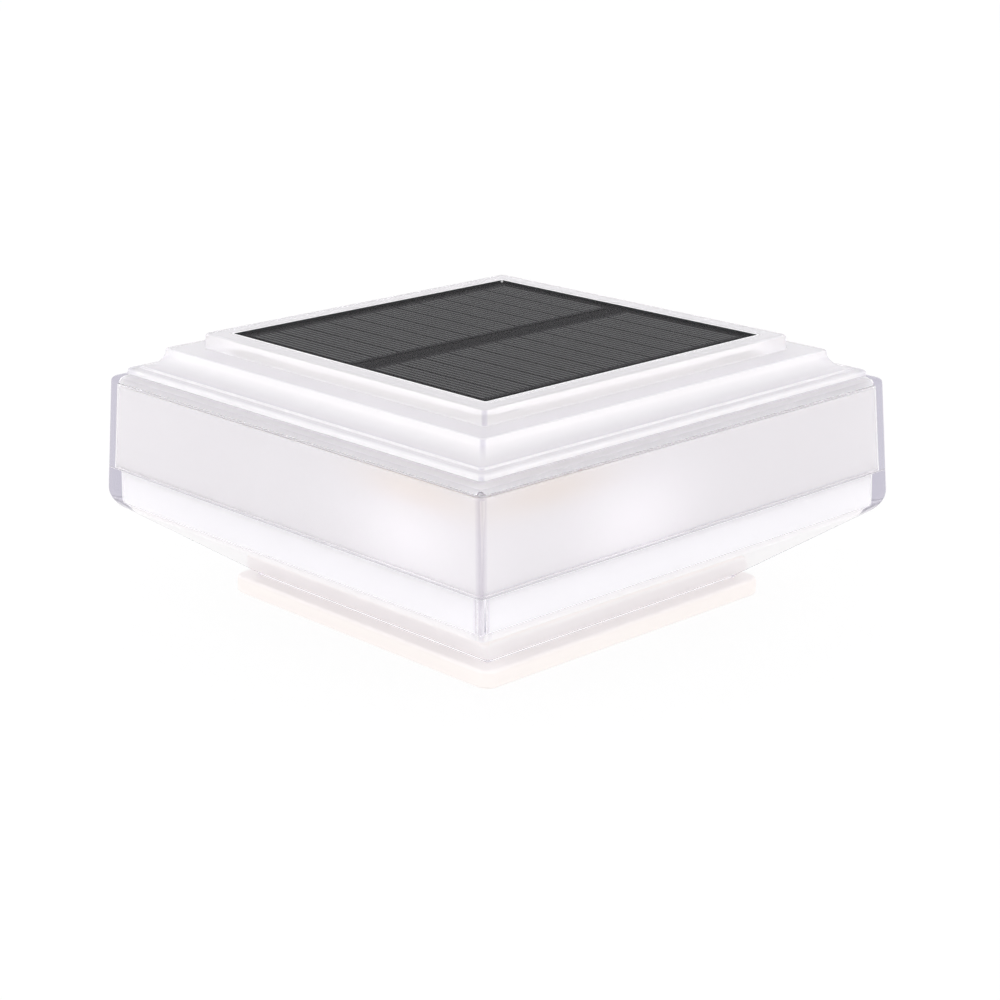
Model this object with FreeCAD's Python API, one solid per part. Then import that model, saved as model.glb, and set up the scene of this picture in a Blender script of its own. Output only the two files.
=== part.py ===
import FreeCAD, Part
import math
import os

# Deck post cap light: a clear, square lamp body with a solar panel on top. It stands on
# a white base that caps a square post, and lifts off it. Sizes are in millimetres, +Z is
# up, and the origin is at the centre of the base's underside.

# ---- post, and the base that caps it ----
post_width = 89.0               # a nominal four-inch post, dressed
post_clearance = 1.5            # each side, between the post and the socket
socket_depth = 25.5
sleeve_wall = 2.4
seat_thickness = 3.0            # inner ledge that rests on the post's top
seat_width = 6.0                # of that ledge, at the middle of each side
flange_overhang = 5.2           # beyond the tray's neck
flange_thickness = 5.25
flange_corner = 4.0
flange_edge = 1.2               # rounding of the flange's upper and lower edges
window_corner = 22.0            # cut across each corner of the opening inside the ledge
fixing_inset = 9.0              # from the post's faces to the post screws' holes
fixing_hole = 4.5
fixing_head = 8.6
fixing_head_depth = 1.4
grip_rib_width = 2.0
grip_rib_height = 12.0
grip_rib_rise = 0.2
grip_rib_place = 30.0           # from the middle of each side

# ---- clear tray: sloping underside and lower wall ----
lamp_slip = 0.4                 # between the base's sleeve and the tray's neck
neck_land = 1.0                 # width of the tray's lowest edge
slope_start = 0.5               # upright edge at the tray's foot
slope_drop = 0.4                # the underside's slope would meet the wall this far below the deck
body_width = 160.0              # at the lowest part of the wall
widest_rise = 4.0               # from the deck's underside to where the wall is widest
wall_draft = math.radians(3.2)
lower_round = 7.5
corner_round = 1.0              # of the clear body's upright corners
tray_skin = 2.0
tray_wall = 4.2
tray_shelf = 2.0                # inner ledge that carries the deck
seam_rise = 9.6                 # from the deck's underside to the seam
seam_gap = 0.4                  # the sealing ring's thickness

# ---- clear housing: walls and stepped top ----
housing_wall = 2.0
upper_wall = 26.9               # from the seam up to the shoulder
shoulder_width = 3.3            # the shoulder slopes in to the bead's foot
shoulder_rise = 1.0
shoulder_round = 1.6
bead_width = 2.7
bead_rise = 1.6
bead_round = 0.9
cove_drop = 0.7                 # the cove's foot above the bead's top
cove_land = 0.6                 # flat beside the cove's foot
cove_radius = 4.8
ledge_land = 0.35               # upright above the cove
ledge_width = 8.0
ledge_round = 0.3
rim_width = 5.9                 # of the rim round the panel
rim_rise = 4.35
rim_draft = 0.2
rim_round = 0.5
rim_inner_step = 2.0            # clear rim's foot, cored from inside
panel_floor = 2.0
post_radius = 4.0               # clear posts that the deck is screwed to
post_inset = 10.0               # in from the middle of the lamp boards

# ---- solar panel ----
panel_gap = 0.2                 # each side, in its recess
board_thickness = 1.6
cell_thickness = 0.25
cover_thickness = 1.0
tape_thickness = 0.4
tape_width = 6.0
panel_sunk = 0.15               # the panel's face below the rim
strip_count = 11
strip_gap = 0.4
cell_margin = 3.4
centre_gap = 7.2
panel_wire_inset = 27.7         # from the panel's edge to its solder tabs
panel_wire_step = 3.0           # either side of the middle
tab_length = 3.0
tab_width = 2.0
tab_thickness = 0.3
floor_hole_length = 12.0
floor_hole_width = 7.0

# ---- frosted liner ----
liner_gap = 0.4
liner_wall = 1.2
liner_round = 1.0
liner_hole_gap = 0.4

# ---- deck ----
deck_gap = 0.4
deck_thickness = 2.5
deck_rim_wall = 1.6
deck_rim_gap = 0.5              # under the seam
pad_height = 2.4                # raised pads and battery frame, above the deck
screw_pad_radius = 6.0
head_recess = 2.6

# ---- battery, bay and door ----
cell_radius = 9.2
cell_length = 63.5
nub_radius = 3.0
nub_length = 1.5
contact_thickness = 0.5
contact_width = 14.0
contact_height = 14.0
spring_space = 6.4
spring_wire = 0.35
spring_small = 2.4
spring_large = 5.2
spring_turns = 4
cell_side_gap = 0.7
cradle_wall = 1.6
cradle_foot = 7.0
cradle_foot_width = 9.0
cradle_foot_thickness = 2.0
peg_radius = 1.0
peg_place = 18.0
tail_width = 3.0
tail_length = 2.0               # past the cradle's end wall
tail_height = 3.4               # above the cell's axis
door_thickness = 2.0
door_overlap = 1.3              # the door's edge past the bay, lengthways
door_overlap_side = 2.1
door_gap = 0.4
gasket_thickness = 0.8
door_pad_thickness = 0.7
door_pad_length = 50.0
door_pad_width = 10.0
door_pad_gap = 0.3
pin_radius = 0.8
pin_fit = 0.05                  # radial, in the door's knuckles
pin_hold = 0.02                 # radial, in the deck's knuckles
pin_offset = 1.8                # the pin's axis outside the door's edge
pin_rise = 1.5                  # the pin's axis above the deck's underside
knuckle_radius = 1.35
knuckle_gap = 0.3
door_knuckle = 8.0
mid_knuckle = 7.4
end_knuckle = 3.7
hinge_pocket_gap = 0.95
thumb_length = 12.0
thumb_width = 4.0
thumb_depth = 1.2

# ---- control board and switch ----
control_length = 50.0
control_width = 26.0
control_y = 32.0
control_thickness = 1.6
boss_radius = 2.8
boss_inset = 3.5
chip_size = (6.0, 5.0, 1.6)
chip_place = (0.0, 0.5)         # places on the board are taken from its middle
inductor_radius = 4.0
inductor_height = 5.0
inductor_place = (10.0, -5.0)
capacitor_radius = 3.2
capacitor_height = 8.0
capacitor_place = (-10.0, -5.0)
socket_size = (7.0, 5.0, 6.0)
socket_step = 14.0
socket_place = 9.0
socket_pin_step = 1.5
switch_place = -8.0
switch_gap = 0.4                # between the switch and the deck
switch_length = 9.6
switch_width = 4.8
switch_height = 4.0
switch_shell = 0.6
knob_length = 2.8
knob_width = 1.6
knob_foot_length = 4.0
knob_foot_width = 2.8
knob_foot_height = 1.2
knob_stands_out = 0.9           # under the deck
knob_travel = 2.0               # each way
knob_gap = 0.3

# ---- lamp boards ----
lamp_board_length = 50.0
lamp_board_height = 10.0
lamp_board_thickness = 1.0
lamp_board_gap = 6.4            # from the cradle's feet to the boards' middle
lamp_board_shift = 10.0         # along its own side, so that the four form a pinwheel
led_length = 3.5
led_height = 2.8
led_thickness = 0.8
led_step = 12.0
led_rise = 6.0                  # middle of the LEDs above the deck
holder_length = 4.0
holder_width = 4.0
holder_height = 6.0
holder_cheek = 2.0              # how far the board's end sits in its holder
holder_fit = 0.05
centre_board_length = 44.0
centre_board_width = 18.0
centre_board_thickness = 1.2
warm_columns = 4
warm_step = 8.0
warm_rows = 2
warm_row_step = 8.0

# ---- screws and wires ----
screw_radius = 1.4
screw_fit = 0.05
screw_clearance = 0.3
screw_head_radius = 2.7
screw_head_height = 1.9
screw_recess_gap = 0.4
housing_screw_length = 14.0
small_screw_radius = 1.1
small_head_radius = 2.0
small_head_height = 1.3
small_screw_length = 5.0
bore_spare = 1.0                # each screw's hole goes this much deeper
wire_radius = 0.7
arc_share = 0.45                # of the shorter run, taken by each bend
panel_wire_drop = 3.0           # under the liner's top
panel_wire_lead = 13.0          # straight up from its socket
battery_wire_lead = 7.0
battery_wire_leaves = ((7.0, 0.0, 0.0), (6.0, 14.0, 3.0))     # from the solder tail's end
battery_wire_bends = ((30.0, 26.0, 5.0), (12.0, 35.0, 6.0))   # from the cell's axis and tail
north_wire_lead = 6.0
north_wire_drop = 1.0
north_wire_reach = 5.0          # in from the north board's face
centre_wire_lead = 9.0
centre_wire_bend = (24.0, 5.0)  # along Y, and above the centre board
centre_wire_end = (2.0, 5.0, 6.0)
link_route = (                  # in from the faces of two lamp boards, at their corner
    (21.5, 0.0), (21.5, 7.0), (15.5, 17.5), (7.0, 29.5), (7.0, 41.5), (0.0, 41.5),
)

# ---- worked out from the sizes above ----
socket_half = post_width / 2 + post_clearance
sleeve_half = socket_half + sleeve_wall
neck_inner = sleeve_half + lamp_slip
neck_outer = neck_inner + neck_land
window_half = socket_half - seat_width
flange_half = neck_outer + flange_overhang
fixing_half = post_width / 2 - fixing_inset
body_half = body_width / 2
deck_bottom = socket_depth + seat_thickness
deck_top = deck_bottom + deck_thickness
pad_top = deck_top + pad_height
tray_inner = body_half - tray_wall
deck_half = tray_inner - deck_gap
body_low = deck_bottom + widest_rise
seam_height = deck_bottom + seam_rise
housing_bottom = seam_height + seam_gap
shoulder_height = seam_height + upper_wall
shoulder_half = body_half - (shoulder_height - body_low) * math.tan(wall_draft)
bead_foot_half = shoulder_half - shoulder_width
bead_foot = shoulder_height + shoulder_rise
bead_top = bead_foot + bead_rise
cove_foot = bead_top + cove_drop
cove_inner_radius = cove_radius + cove_drop
ledge_half = bead_foot_half - bead_width - cove_land - cove_radius
ledge_height = cove_foot + cove_radius + ledge_land
rim_half = ledge_half - ledge_width
rim_height = ledge_height + rim_rise
pocket_half = rim_half - rim_width
panel_width = 2 * (pocket_half - panel_gap)
panel_wire_y = panel_width / 2 - panel_wire_inset
strip_pitch = (panel_width - 2 * cell_margin + strip_gap) / strip_count
panel_top = rim_height - panel_sunk
cover_bottom = panel_top - cover_thickness
panel_bottom = cover_bottom - board_thickness
pocket_floor = panel_bottom - tape_thickness
floor_bottom = pocket_floor - panel_floor
liner_top = shoulder_height - housing_wall - liner_gap
bay_half_length = cell_length / 2 + (nub_length + spring_space) / 2 + contact_thickness
bay_half_width = cell_radius + cell_side_gap
door_top = deck_bottom + door_thickness
rebate_top = door_top + gasket_thickness
door_half_length = bay_half_length + door_overlap
door_half_width = bay_half_width + door_overlap_side
pin_y = -(door_half_width + pin_offset)
pin_z = deck_bottom + pin_rise
pocket_edge = pin_y - knuckle_radius - hinge_pocket_gap
cell_axis = door_top + door_pad_thickness + door_pad_gap + cell_radius
cell_start = -bay_half_length + contact_thickness + spring_space
cradle_inner_top = cell_axis + cell_radius + cell_side_gap
cradle_top = cradle_inner_top + cradle_wall
switch_bottom = deck_top + switch_gap
control_bottom = switch_bottom + switch_height
control_top = control_bottom + control_thickness
switch_y = control_y + switch_place
socket_y = control_y + socket_place
foot_place = bay_half_length + cradle_wall + cradle_foot / 2
foot_half_length = (cradle_foot + cradle_wall) / 2
lamp_board_out = foot_place + foot_half_length + lamp_board_gap
post_place = lamp_board_out - post_inset
socket_top = control_top + socket_size[2]
side_turns = {"south": 0, "east": 90, "north": 180, "west": 270}


def vec(x, y, z):
    return FreeCAD.Vector(x, y, z)


def block(x, y, z):
    """Box between the two values of each of x, y and z."""
    return Part.makeBox(x[1] - x[0], y[1] - y[0], z[1] - z[0], vec(x[0], y[0], z[0]))


def around(middle, width):
    return (middle - width / 2, middle + width / 2)


def square(half, low, high):
    return block((-half, half), (-half, half), (low, high))


def rod(radius, x, y, low, high):
    return Part.makeCylinder(radius, high - low, vec(x, y, low))


def rod_along_x(radius, start, end, y, z):
    return Part.makeCylinder(radius, end - start, vec(start, y, z), vec(1, 0, 0))


def turned(shape, degrees):
    copy = shape.copy()
    copy.rotate(vec(0, 0, 0), vec(0, 0, 1), degrees)
    return copy


def joined(shapes):
    """One solid out of overlapping ones."""
    return shapes[0].fuse(shapes[1:]).removeSplitter()


def group(solids):
    """Separate solids in one sub-part."""
    return Part.makeCompound(solids)


def corners(place):
    return [(x, y) for x in (-place, place) for y in (-place, place)]


def corner_arc(before, corner, after, radius):
    """Start, middle and end of the arc that rounds a corner of an outline."""
    back = (before - corner).normalize()
    ahead = (after - corner).normalize()
    half = back.getAngle(ahead) / 2
    reach = radius / math.tan(half)
    towards = (back + ahead).normalize()
    middle = corner + towards * (radius / math.sin(half) - radius)
    return corner + back * reach, middle, corner + ahead * reach


def side_edges(outline, side):
    """Edges of one side of an outline of (half-width, height, corner radius)."""
    points = [vec(side * half, 0, height) for half, height, _ in outline]
    edges = []
    start = points[0]
    for place in range(1, len(points) - 1):
        end = points[place]
        radius = outline[place][2]
        if radius:
            end, middle, leave = corner_arc(points[place - 1], end, points[place + 1], radius)
        edges.append(Part.LineSegment(start, end).toShape())
        start = end
        if radius:
            edges.append(Part.Arc(end, middle, leave).toShape())
            start = leave
    edges.append(Part.LineSegment(start, points[-1]).toShape())
    return edges


def stepped_square(outline):
    """Solid that is square at every height, with the outline on all four sides."""
    edges = side_edges(outline, 1) + side_edges(outline, -1)
    for half, height, _ in (outline[0], outline[-1]):
        edges.append(Part.LineSegment(vec(-half, 0, height), vec(half, 0, height)).toShape())
    face = Part.Face(Part.Wire(Part.__sortEdges__(edges)))
    reach = body_width
    face.translate(vec(0, -reach, 0))
    slab = face.extrude(vec(0, 2 * reach, 0))
    return slab.common(turned(slab, 90))


def rounded_corners(body, shortest):
    """Body with its upright corner edges rounded, but for edges under shortest."""
    edges = []
    for edge in body.Edges:
        ends = [vertex.Point for vertex in edge.Vertexes]
        on_corner = all(abs(abs(end.x) - abs(end.y)) < 0.1 for end in ends)
        if on_corner and edge.BoundBox.ZLength > shortest:
            edges.append(edge)
    return body.makeFillet(corner_round, edges)


def wire(points):
    """Wire along points: straight runs joined by arcs as large as the runs allow."""
    points = [vec(*point) for point in points]
    edges = []
    radii = []
    start = points[0]
    for before, corner, after in zip(points, points[1:], points[2:]):
        back = before - corner
        ahead = after - corner
        reach = arc_share * min(back.Length, ahead.Length)
        radius = reach * math.tan(back.getAngle(ahead) / 2)
        entry, middle, leave = corner_arc(before, corner, after, radius)
        edges.append(Part.LineSegment(start, entry).toShape())
        edges.append(Part.Arc(entry, middle, leave).toShape())
        radii.append(round(radius, 1))
        start = leave
    edges.append(Part.LineSegment(start, points[-1]).toShape())
    path = Part.Wire(edges)
    section = Part.Wire(Part.Circle(points[0], points[1] - points[0], wire_radius).toShape())
    solid = path.makePipeShell([section], True, False)
    share = solid.Volume / (math.pi * wire_radius ** 2 * path.Length)
    print("wire of", round(path.Length, 1), "mm, bend radii", radii, "volume share", round(share, 3))
    return solid


def screw(x, y, seat, shank, head, length, direction):
    """Screw whose head (radius, height) bears on the height seat, shank in direction."""
    head_radius, head_height = head
    far = seat + direction * length
    top = seat - direction * head_height
    return joined([
        rod(shank, x, y, min(seat, far), max(seat, far)),
        rod(head_radius, x, y, min(seat, top), max(seat, top)),
    ])


# ---- base ----

def window_tool(low, high):
    """The ledge's opening: a square with its corners cut off."""
    half = window_half
    short = half - window_corner
    points = [(half, -short), (half, short), (short, half), (-short, half),
              (-half, short), (-half, -short), (-short, -half), (short, -half)]
    loop = [vec(x, y, low) for x, y in points + points[:1]]
    return Part.Face(Part.makePolygon(loop)).extrude(vec(0, 0, high - low))


def base_collar():
    flange = square(flange_half, 0, flange_thickness)
    upright = [edge for edge in flange.Edges if edge.BoundBox.ZLength > flange_thickness / 2]
    flange = flange.makeFillet(flange_corner, upright)
    level = [edge for edge in flange.Edges if edge.BoundBox.ZLength < flange_edge]
    flange = flange.makeFillet(flange_edge, level)
    body = joined([flange, square(sleeve_half, 0, deck_bottom)])
    body = body.cut(square(socket_half, -flange_edge, socket_depth))
    body = body.cut(window_tool(0, deck_bottom + flange_edge))
    for x, y in corners(fixing_half):
        body = body.cut(rod(fixing_hole / 2, x, y, 0, deck_bottom))
        body = body.cut(rod(fixing_head / 2, x, y, deck_bottom - fixing_head_depth, deck_bottom))
    ribs = []
    for degrees in side_turns.values():
        for place in (-grip_rib_place, grip_rib_place):
            rib = block(
                around(place, grip_rib_width),
                (sleeve_half - sleeve_wall / 2, sleeve_half + grip_rib_rise),
                (socket_depth - grip_rib_height, socket_depth),
            )
            ribs.append(turned(rib, degrees))
    return joined([body] + ribs)


# ---- clear body ----

def wall_half(height):
    """Half-width of the drafted outer wall at a height."""
    return body_half - (height - body_low) * math.tan(wall_draft)


def slope_height(half, lift):
    """Height of the sloping underside at a half-width, raised by lift square to it."""
    foot = flange_thickness + slope_start
    corner_height = deck_bottom - slope_drop
    angle = math.atan2(corner_height - foot, wall_half(corner_height) - neck_outer)
    return foot + (half - neck_outer) * math.tan(angle) + lift / math.cos(angle)


def lower_tray():
    corner_height = deck_bottom - slope_drop
    corner_half = wall_half(corner_height)
    outer = stepped_square([
        (neck_outer, flange_thickness, 0),
        (neck_outer, slope_height(neck_outer, 0), 0),
        (corner_half, corner_height, lower_round),
        (wall_half(seam_height), seam_height, 0),
    ])
    outer = rounded_corners(outer, neck_land)
    shelf_half = tray_inner - tray_shelf
    inner = stepped_square([
        (neck_inner, 0, 0),
        (neck_inner, slope_height(neck_inner, tray_skin), 0),
        (shelf_half, slope_height(shelf_half, tray_skin), 0),
        (shelf_half, deck_bottom, 0),
        (tray_inner, deck_bottom, 0),
        (tray_inner, rim_height, 0),
    ])
    return outer.cut(inner)


def seam_seal():
    inset = seam_gap
    outer = wall_half(seam_height) - inset
    inner = wall_half(seam_height) - housing_wall + inset / 2
    return square(outer, seam_height, housing_bottom).cut(square(inner, 0, rim_height))


def housing_outer():
    body = stepped_square([
        (wall_half(housing_bottom), housing_bottom, 0),
        (wall_half(shoulder_height), shoulder_height, shoulder_round),
        (bead_foot_half, bead_foot, 0),
        (bead_foot_half, bead_top, bead_round),
        (bead_foot_half - bead_width, bead_top, 0),
        (bead_foot_half - bead_width, cove_foot, 0),
        (ledge_half, cove_foot, cove_radius),
        (ledge_half, ledge_height, ledge_round),
        (rim_half, ledge_height, 0),
        (rim_half - rim_draft, rim_height, rim_round),
        (rim_half - rim_draft - 2 * rim_round, rim_height, 0),
    ])
    return rounded_corners(body, (shoulder_height - housing_bottom) / 2)


def housing_inner():
    shoulder = shoulder_height - housing_wall
    bead_half = bead_foot_half - housing_wall
    ledge_inner = ledge_half - housing_wall
    return stepped_square([
        (wall_half(0) - housing_wall, 0, 0),
        (wall_half(shoulder) - housing_wall, shoulder, 0),
        (bead_half, bead_foot - housing_wall, 0),
        (bead_half, bead_top - housing_wall, 0),
        (ledge_inner, bead_top - housing_wall, cove_inner_radius),
        (ledge_inner, ledge_height - housing_wall, 0),
        (rim_half - rim_inner_step, ledge_height - housing_wall, 0),
        (rim_half - rim_inner_step, floor_bottom, 0),
    ])


def clear_housing():
    shell = housing_outer().cut(housing_inner())
    shell = shell.cut(square(pocket_half, pocket_floor, rim_height + panel_floor))
    hole = block(
        around(0, floor_hole_length),
        around(panel_wire_y, floor_hole_width),
        (floor_bottom - panel_floor, pocket_floor + panel_floor),
    )
    posts = []
    for x, y in corners(post_place):
        post = rod(post_radius, x, y, pad_top, floor_bottom + panel_floor / 2)
        depth = housing_screw_length + bore_spare
        posts.append(post.cut(rod(screw_radius + screw_fit, x, y, pad_top, pad_top + depth)))
    return joined([shell.cut(hole)] + posts)


def frosted_liner():
    reach = housing_wall + liner_gap
    outer = stepped_square([
        (wall_half(seam_height) - reach, seam_height, 0),
        (wall_half(liner_top) - reach, liner_top, liner_round),
        (wall_half(liner_top) - reach - 2 * liner_round, liner_top, 0),
    ])
    inner = stepped_square([
        (wall_half(0) - reach - liner_wall, 0, 0),
        (wall_half(liner_top) - reach - liner_wall, liner_top - liner_wall, 0),
    ])
    shell = outer.cut(inner)
    for x, y in corners(post_place):
        shell = shell.cut(rod(post_radius + liner_hole_gap, x, y, 0, rim_height))
    return shell.cut(rod(floor_hole_length / 2, 0, panel_wire_y, 0, rim_height))


# ---- solar panel ----

def cell_strips(low, high):
    """The cell strips, in two columns, between two heights."""
    half = panel_width / 2
    columns = [(-half + cell_margin, -centre_gap / 2), (centre_gap / 2, half - cell_margin)]
    strips = []
    for column in columns:
        for row in range(strip_count):
            middle = (row - (strip_count - 1) / 2) * strip_pitch
            strips.append(block(column, around(middle, strip_pitch - strip_gap), (low, high)))
    return strips


def solar_panel():
    """The panel's layers, from the adhesive ring up to the clear face."""
    half = panel_width / 2
    cell_top = cover_bottom + cell_thickness
    tape = square(half, pocket_floor, panel_bottom)
    tape = tape.cut(square(half - tape_width, 0, rim_height))
    cover = square(half, cover_bottom, panel_top)
    tabs = [
        block(
            around(side * panel_wire_step, tab_width),
            around(panel_wire_y, tab_length),
            (panel_bottom - tab_thickness, panel_bottom),
        )
        for side in (-1, 1)
    ]
    return {
        "panel_tape": tape,
        "panel_board": square(half, panel_bottom, cover_bottom),
        "solar_cells": group(cell_strips(cover_bottom, cell_top)),
        "panel_cover": cover.cut(cell_strips(cover_bottom, cell_top)),
        "panel_tabs": group(tabs),
    }


# ---- deck, with the battery bay's door under it ----

def hinge_spans():
    """Stretches of the hinge along X: the deck's knuckles and the door's."""
    inner = mid_knuckle / 2 + knuckle_gap
    outer = inner + door_knuckle
    end = outer + knuckle_gap
    deck_spans = [(-mid_knuckle / 2, mid_knuckle / 2), (end, end + end_knuckle),
                  (-end - end_knuckle, -end)]
    return deck_spans, [(inner, outer), (-outer, -inner)]


def bay_tools():
    """What the bay, the door and its hinge leave open in the deck."""
    return [
        block(around(0, 2 * bay_half_length), around(0, 2 * bay_half_width), (0, rim_height)),
        block(
            around(0, 2 * (door_half_length + door_gap)),
            around(0, 2 * (door_half_width + door_gap)),
            (0, rebate_top),
        ),
        block(
            around(0, 2 * (door_half_length + door_gap)),
            (pocket_edge, -door_half_width),
            (0, pin_z + knuckle_radius + knuckle_gap),
        ),
        block(
            around(0, thumb_length),
            (door_half_width, door_half_width + door_gap + thumb_width),
            (0, deck_bottom + thumb_depth),
        ),
    ]


def deck_knuckles():
    bore = rod_along_x(pin_radius + pin_hold, -body_half, body_half, pin_y, pin_z)
    knuckles = []
    for span in hinge_spans()[0]:
        barrel = rod_along_x(knuckle_radius, span[0], span[1], pin_y, pin_z)
        web = block(span, around(pin_y, 2 * knuckle_radius), (pin_z, pad_top - door_gap))
        knuckles.append(joined([barrel, web]).cut(bore))
    return knuckles


def lamp_board_holders():
    """Grooved blocks that hold the two ends of each upright lamp board."""
    half = lamp_board_length / 2
    slot = block(
        around(lamp_board_shift, lamp_board_length + 2 * holder_fit),
        around(-lamp_board_out, lamp_board_thickness + 2 * holder_fit),
        (deck_top, rim_height),
    )
    holders = []
    for side in (-1, 1):
        middle = lamp_board_shift + side * (half - holder_cheek + holder_length / 2)
        holder = block(
            around(middle, holder_length),
            around(-lamp_board_out, holder_width),
            (deck_top - deck_thickness / 2, deck_top + holder_height),
        )
        holders.append(holder.cut(slot))
    return [turned(holder, degrees) for degrees in side_turns.values() for holder in holders]


def boss_places():
    x = control_length / 2 - boss_inset
    y = control_width / 2 - boss_inset
    return [(side * x, control_y + end * y) for side in (-1, 1) for end in (-1, 1)]


def deck_pads():
    """Raised pads under the clear posts, the cradle's feet and the control board."""
    start = deck_top - deck_thickness / 2
    pads = [rod(screw_pad_radius, x, y, start, pad_top) for x, y in corners(post_place)]
    for side in (-1, 1):
        pads.append(block(
            around(side * foot_place, 2 * foot_half_length),
            around(0, cradle_foot_width),
            (start, pad_top),
        ))
    pads += [rod(boss_radius, x, y, start, control_bottom) for x, y in boss_places()]
    return pads


def deck_holes():
    """Screw holes and the switch's slot."""
    tools = []
    for x, y in corners(post_place):
        tools.append(rod(screw_radius + screw_clearance, x, y, 0, rim_height))
        recess = screw_head_radius + screw_recess_gap
        tools.append(rod(recess, x, y, 0, deck_bottom + head_recess))
    depth = small_screw_length + bore_spare
    pilot = small_screw_radius + screw_fit
    for side in (-1, 1):
        seat = pad_top + cradle_foot_thickness
        tools.append(rod(pilot, side * foot_place, 0, seat - depth, seat))
    for x, y in boss_places():
        tools.append(rod(pilot, x, y, control_top - depth, control_top))
    tools.append(block(
        around(0, knob_length + 2 * (knob_travel + knob_gap)),
        around(switch_y, knob_width + 2 * knob_gap),
        (0, rim_height),
    ))
    return tools


def deck():
    plate = square(deck_half, deck_bottom, deck_top)
    rim = square(deck_half, deck_bottom, seam_height - deck_rim_gap)
    rim = rim.cut(square(deck_half - deck_rim_wall, 0, rim_height))
    frame = block(
        around(0, 2 * (door_half_length + door_gap + cradle_wall)),
        (pocket_edge - cradle_wall, door_half_width + door_gap + cradle_wall),
        (deck_top - deck_thickness / 2, pad_top),
    )
    body = joined([plate, rim, frame] + deck_pads() + lamp_board_holders())
    body = body.cut(bay_tools())
    return joined([body] + deck_knuckles()).cut(deck_holes())


def battery_door():
    plate = block(
        around(0, 2 * door_half_length),
        around(0, 2 * door_half_width),
        (deck_bottom, door_top),
    )
    pieces = [plate]
    for span in hinge_spans()[1]:
        pieces.append(rod_along_x(knuckle_radius, span[0], span[1], pin_y, pin_z))
        pieces.append(block(
            span,
            (pin_y, -door_half_width + door_overlap_side / 2),
            around(pin_z, door_thickness / 2),
        ))
    bore = rod_along_x(pin_radius + pin_fit, -body_half, body_half, pin_y, pin_z)
    return joined(pieces).cut(bore)


def door_parts():
    end = hinge_spans()[0][1][1]
    gasket = block(
        around(0, 2 * door_half_length),
        around(0, 2 * door_half_width),
        (door_top, rebate_top),
    )
    bay = block(around(0, 2 * bay_half_length), around(0, 2 * bay_half_width), (0, rim_height))
    pad = block(
        around(0, door_pad_length),
        around(0, door_pad_width),
        (door_top, door_top + door_pad_thickness),
    )
    return {
        "battery_door": battery_door(),
        "door_gasket": gasket.cut(bay),
        "door_pad": pad,
        "door_pin": rod_along_x(pin_radius, -end, end, pin_y, pin_z),
    }


# ---- battery and cradle ----

def tail_block(side):
    """A contact's solder tail, from the contact out through the cradle's end wall."""
    ends = (bay_half_length - contact_thickness, bay_half_length + cradle_wall + tail_length)
    x = sorted(side * end for end in ends)
    middle = cell_axis + tail_height
    return block(x, around(0, tail_width), around(middle, contact_thickness))


def battery_cradle():
    outer_length = 2 * (bay_half_length + cradle_wall)
    body = block(
        around(0, outer_length),
        around(0, 2 * (bay_half_width + cradle_wall)),
        (pad_top, cradle_top),
    )
    bay = block(
        around(0, 2 * bay_half_length),
        around(0, 2 * bay_half_width),
        (0, cradle_inner_top),
    )
    seat = pad_top + cradle_foot_thickness
    feet = [
        block(
            around(side * foot_place, 2 * foot_half_length),
            around(0, cradle_foot_width),
            (pad_top, seat),
        )
        for side in (-1, 1)
    ]
    pegs = [
        rod(peg_radius, side * peg_place, 0, cradle_inner_top, cradle_top + 2 * peg_radius)
        for side in (-1, 1)
    ]
    body = joined([body] + feet + pegs).cut(bay)
    for side in (-1, 1):
        body = body.cut(tail_block(side))
        hole = small_screw_radius + screw_clearance
        body = body.cut(rod(hole, side * foot_place, 0, pad_top, seat))
    return body


def battery_cell():
    can = rod_along_x(cell_radius, cell_start, cell_start + cell_length, 0, cell_axis)
    end = cell_start + cell_length + nub_length
    return joined([can, rod_along_x(nub_radius, cell_start, end, 0, cell_axis)])


def contact_plates():
    plates = []
    for side in (-1, 1):
        ends = (bay_half_length - contact_thickness, bay_half_length)
        plate = block(
            sorted(side * end for end in ends),
            around(0, contact_width),
            around(cell_axis, contact_height),
        )
        plates.append(joined([plate, tail_block(side)]))
    return group(plates)


def contact_spring():
    """Conical coil between the contact plate and the cell, one wire in half turns."""
    start = -bay_half_length + contact_thickness + spring_wire
    step = (spring_space - 2 * spring_wire) / (2 * spring_turns)
    shrink = (spring_large - spring_small) / (2 * spring_turns)

    def on_coil(half_turns):
        angle = math.pi * half_turns
        radius = spring_large - shrink * half_turns
        return vec(
            start + step * half_turns,
            radius * math.cos(angle),
            cell_axis + radius * math.sin(angle),
        )

    coil = [
        Part.Arc(on_coil(turn), on_coil(turn + 0.5), on_coil(turn + 1)).toShape()
        for turn in range(2 * spring_turns)
    ]
    path = Part.Wire(coil)
    along = coil[0].tangentAt(coil[0].FirstParameter)
    section = Part.Wire(Part.Circle(on_coil(0), along, spring_wire).toShape())
    return path.makePipeShell([section], True, False)


# ---- control board and switch ----

def board_part(size, place):
    """Box of a size on the control board, at a place taken from the board's middle."""
    length, width, height = size
    x, y = place
    y += control_y
    return block(around(x, length), around(y, width), (control_top, control_top + height))


def board_can(radius, height, place):
    x, y = place
    return rod(radius, x, control_y + y, control_top, control_top + height)


def control_board():
    board = block(
        around(0, control_length),
        around(control_y, control_width),
        (control_bottom, control_top),
    )
    for x, y in boss_places():
        hole = small_screw_radius + screw_clearance
        board = board.cut(rod(hole, x, y, control_bottom, control_top))
    return board


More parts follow.
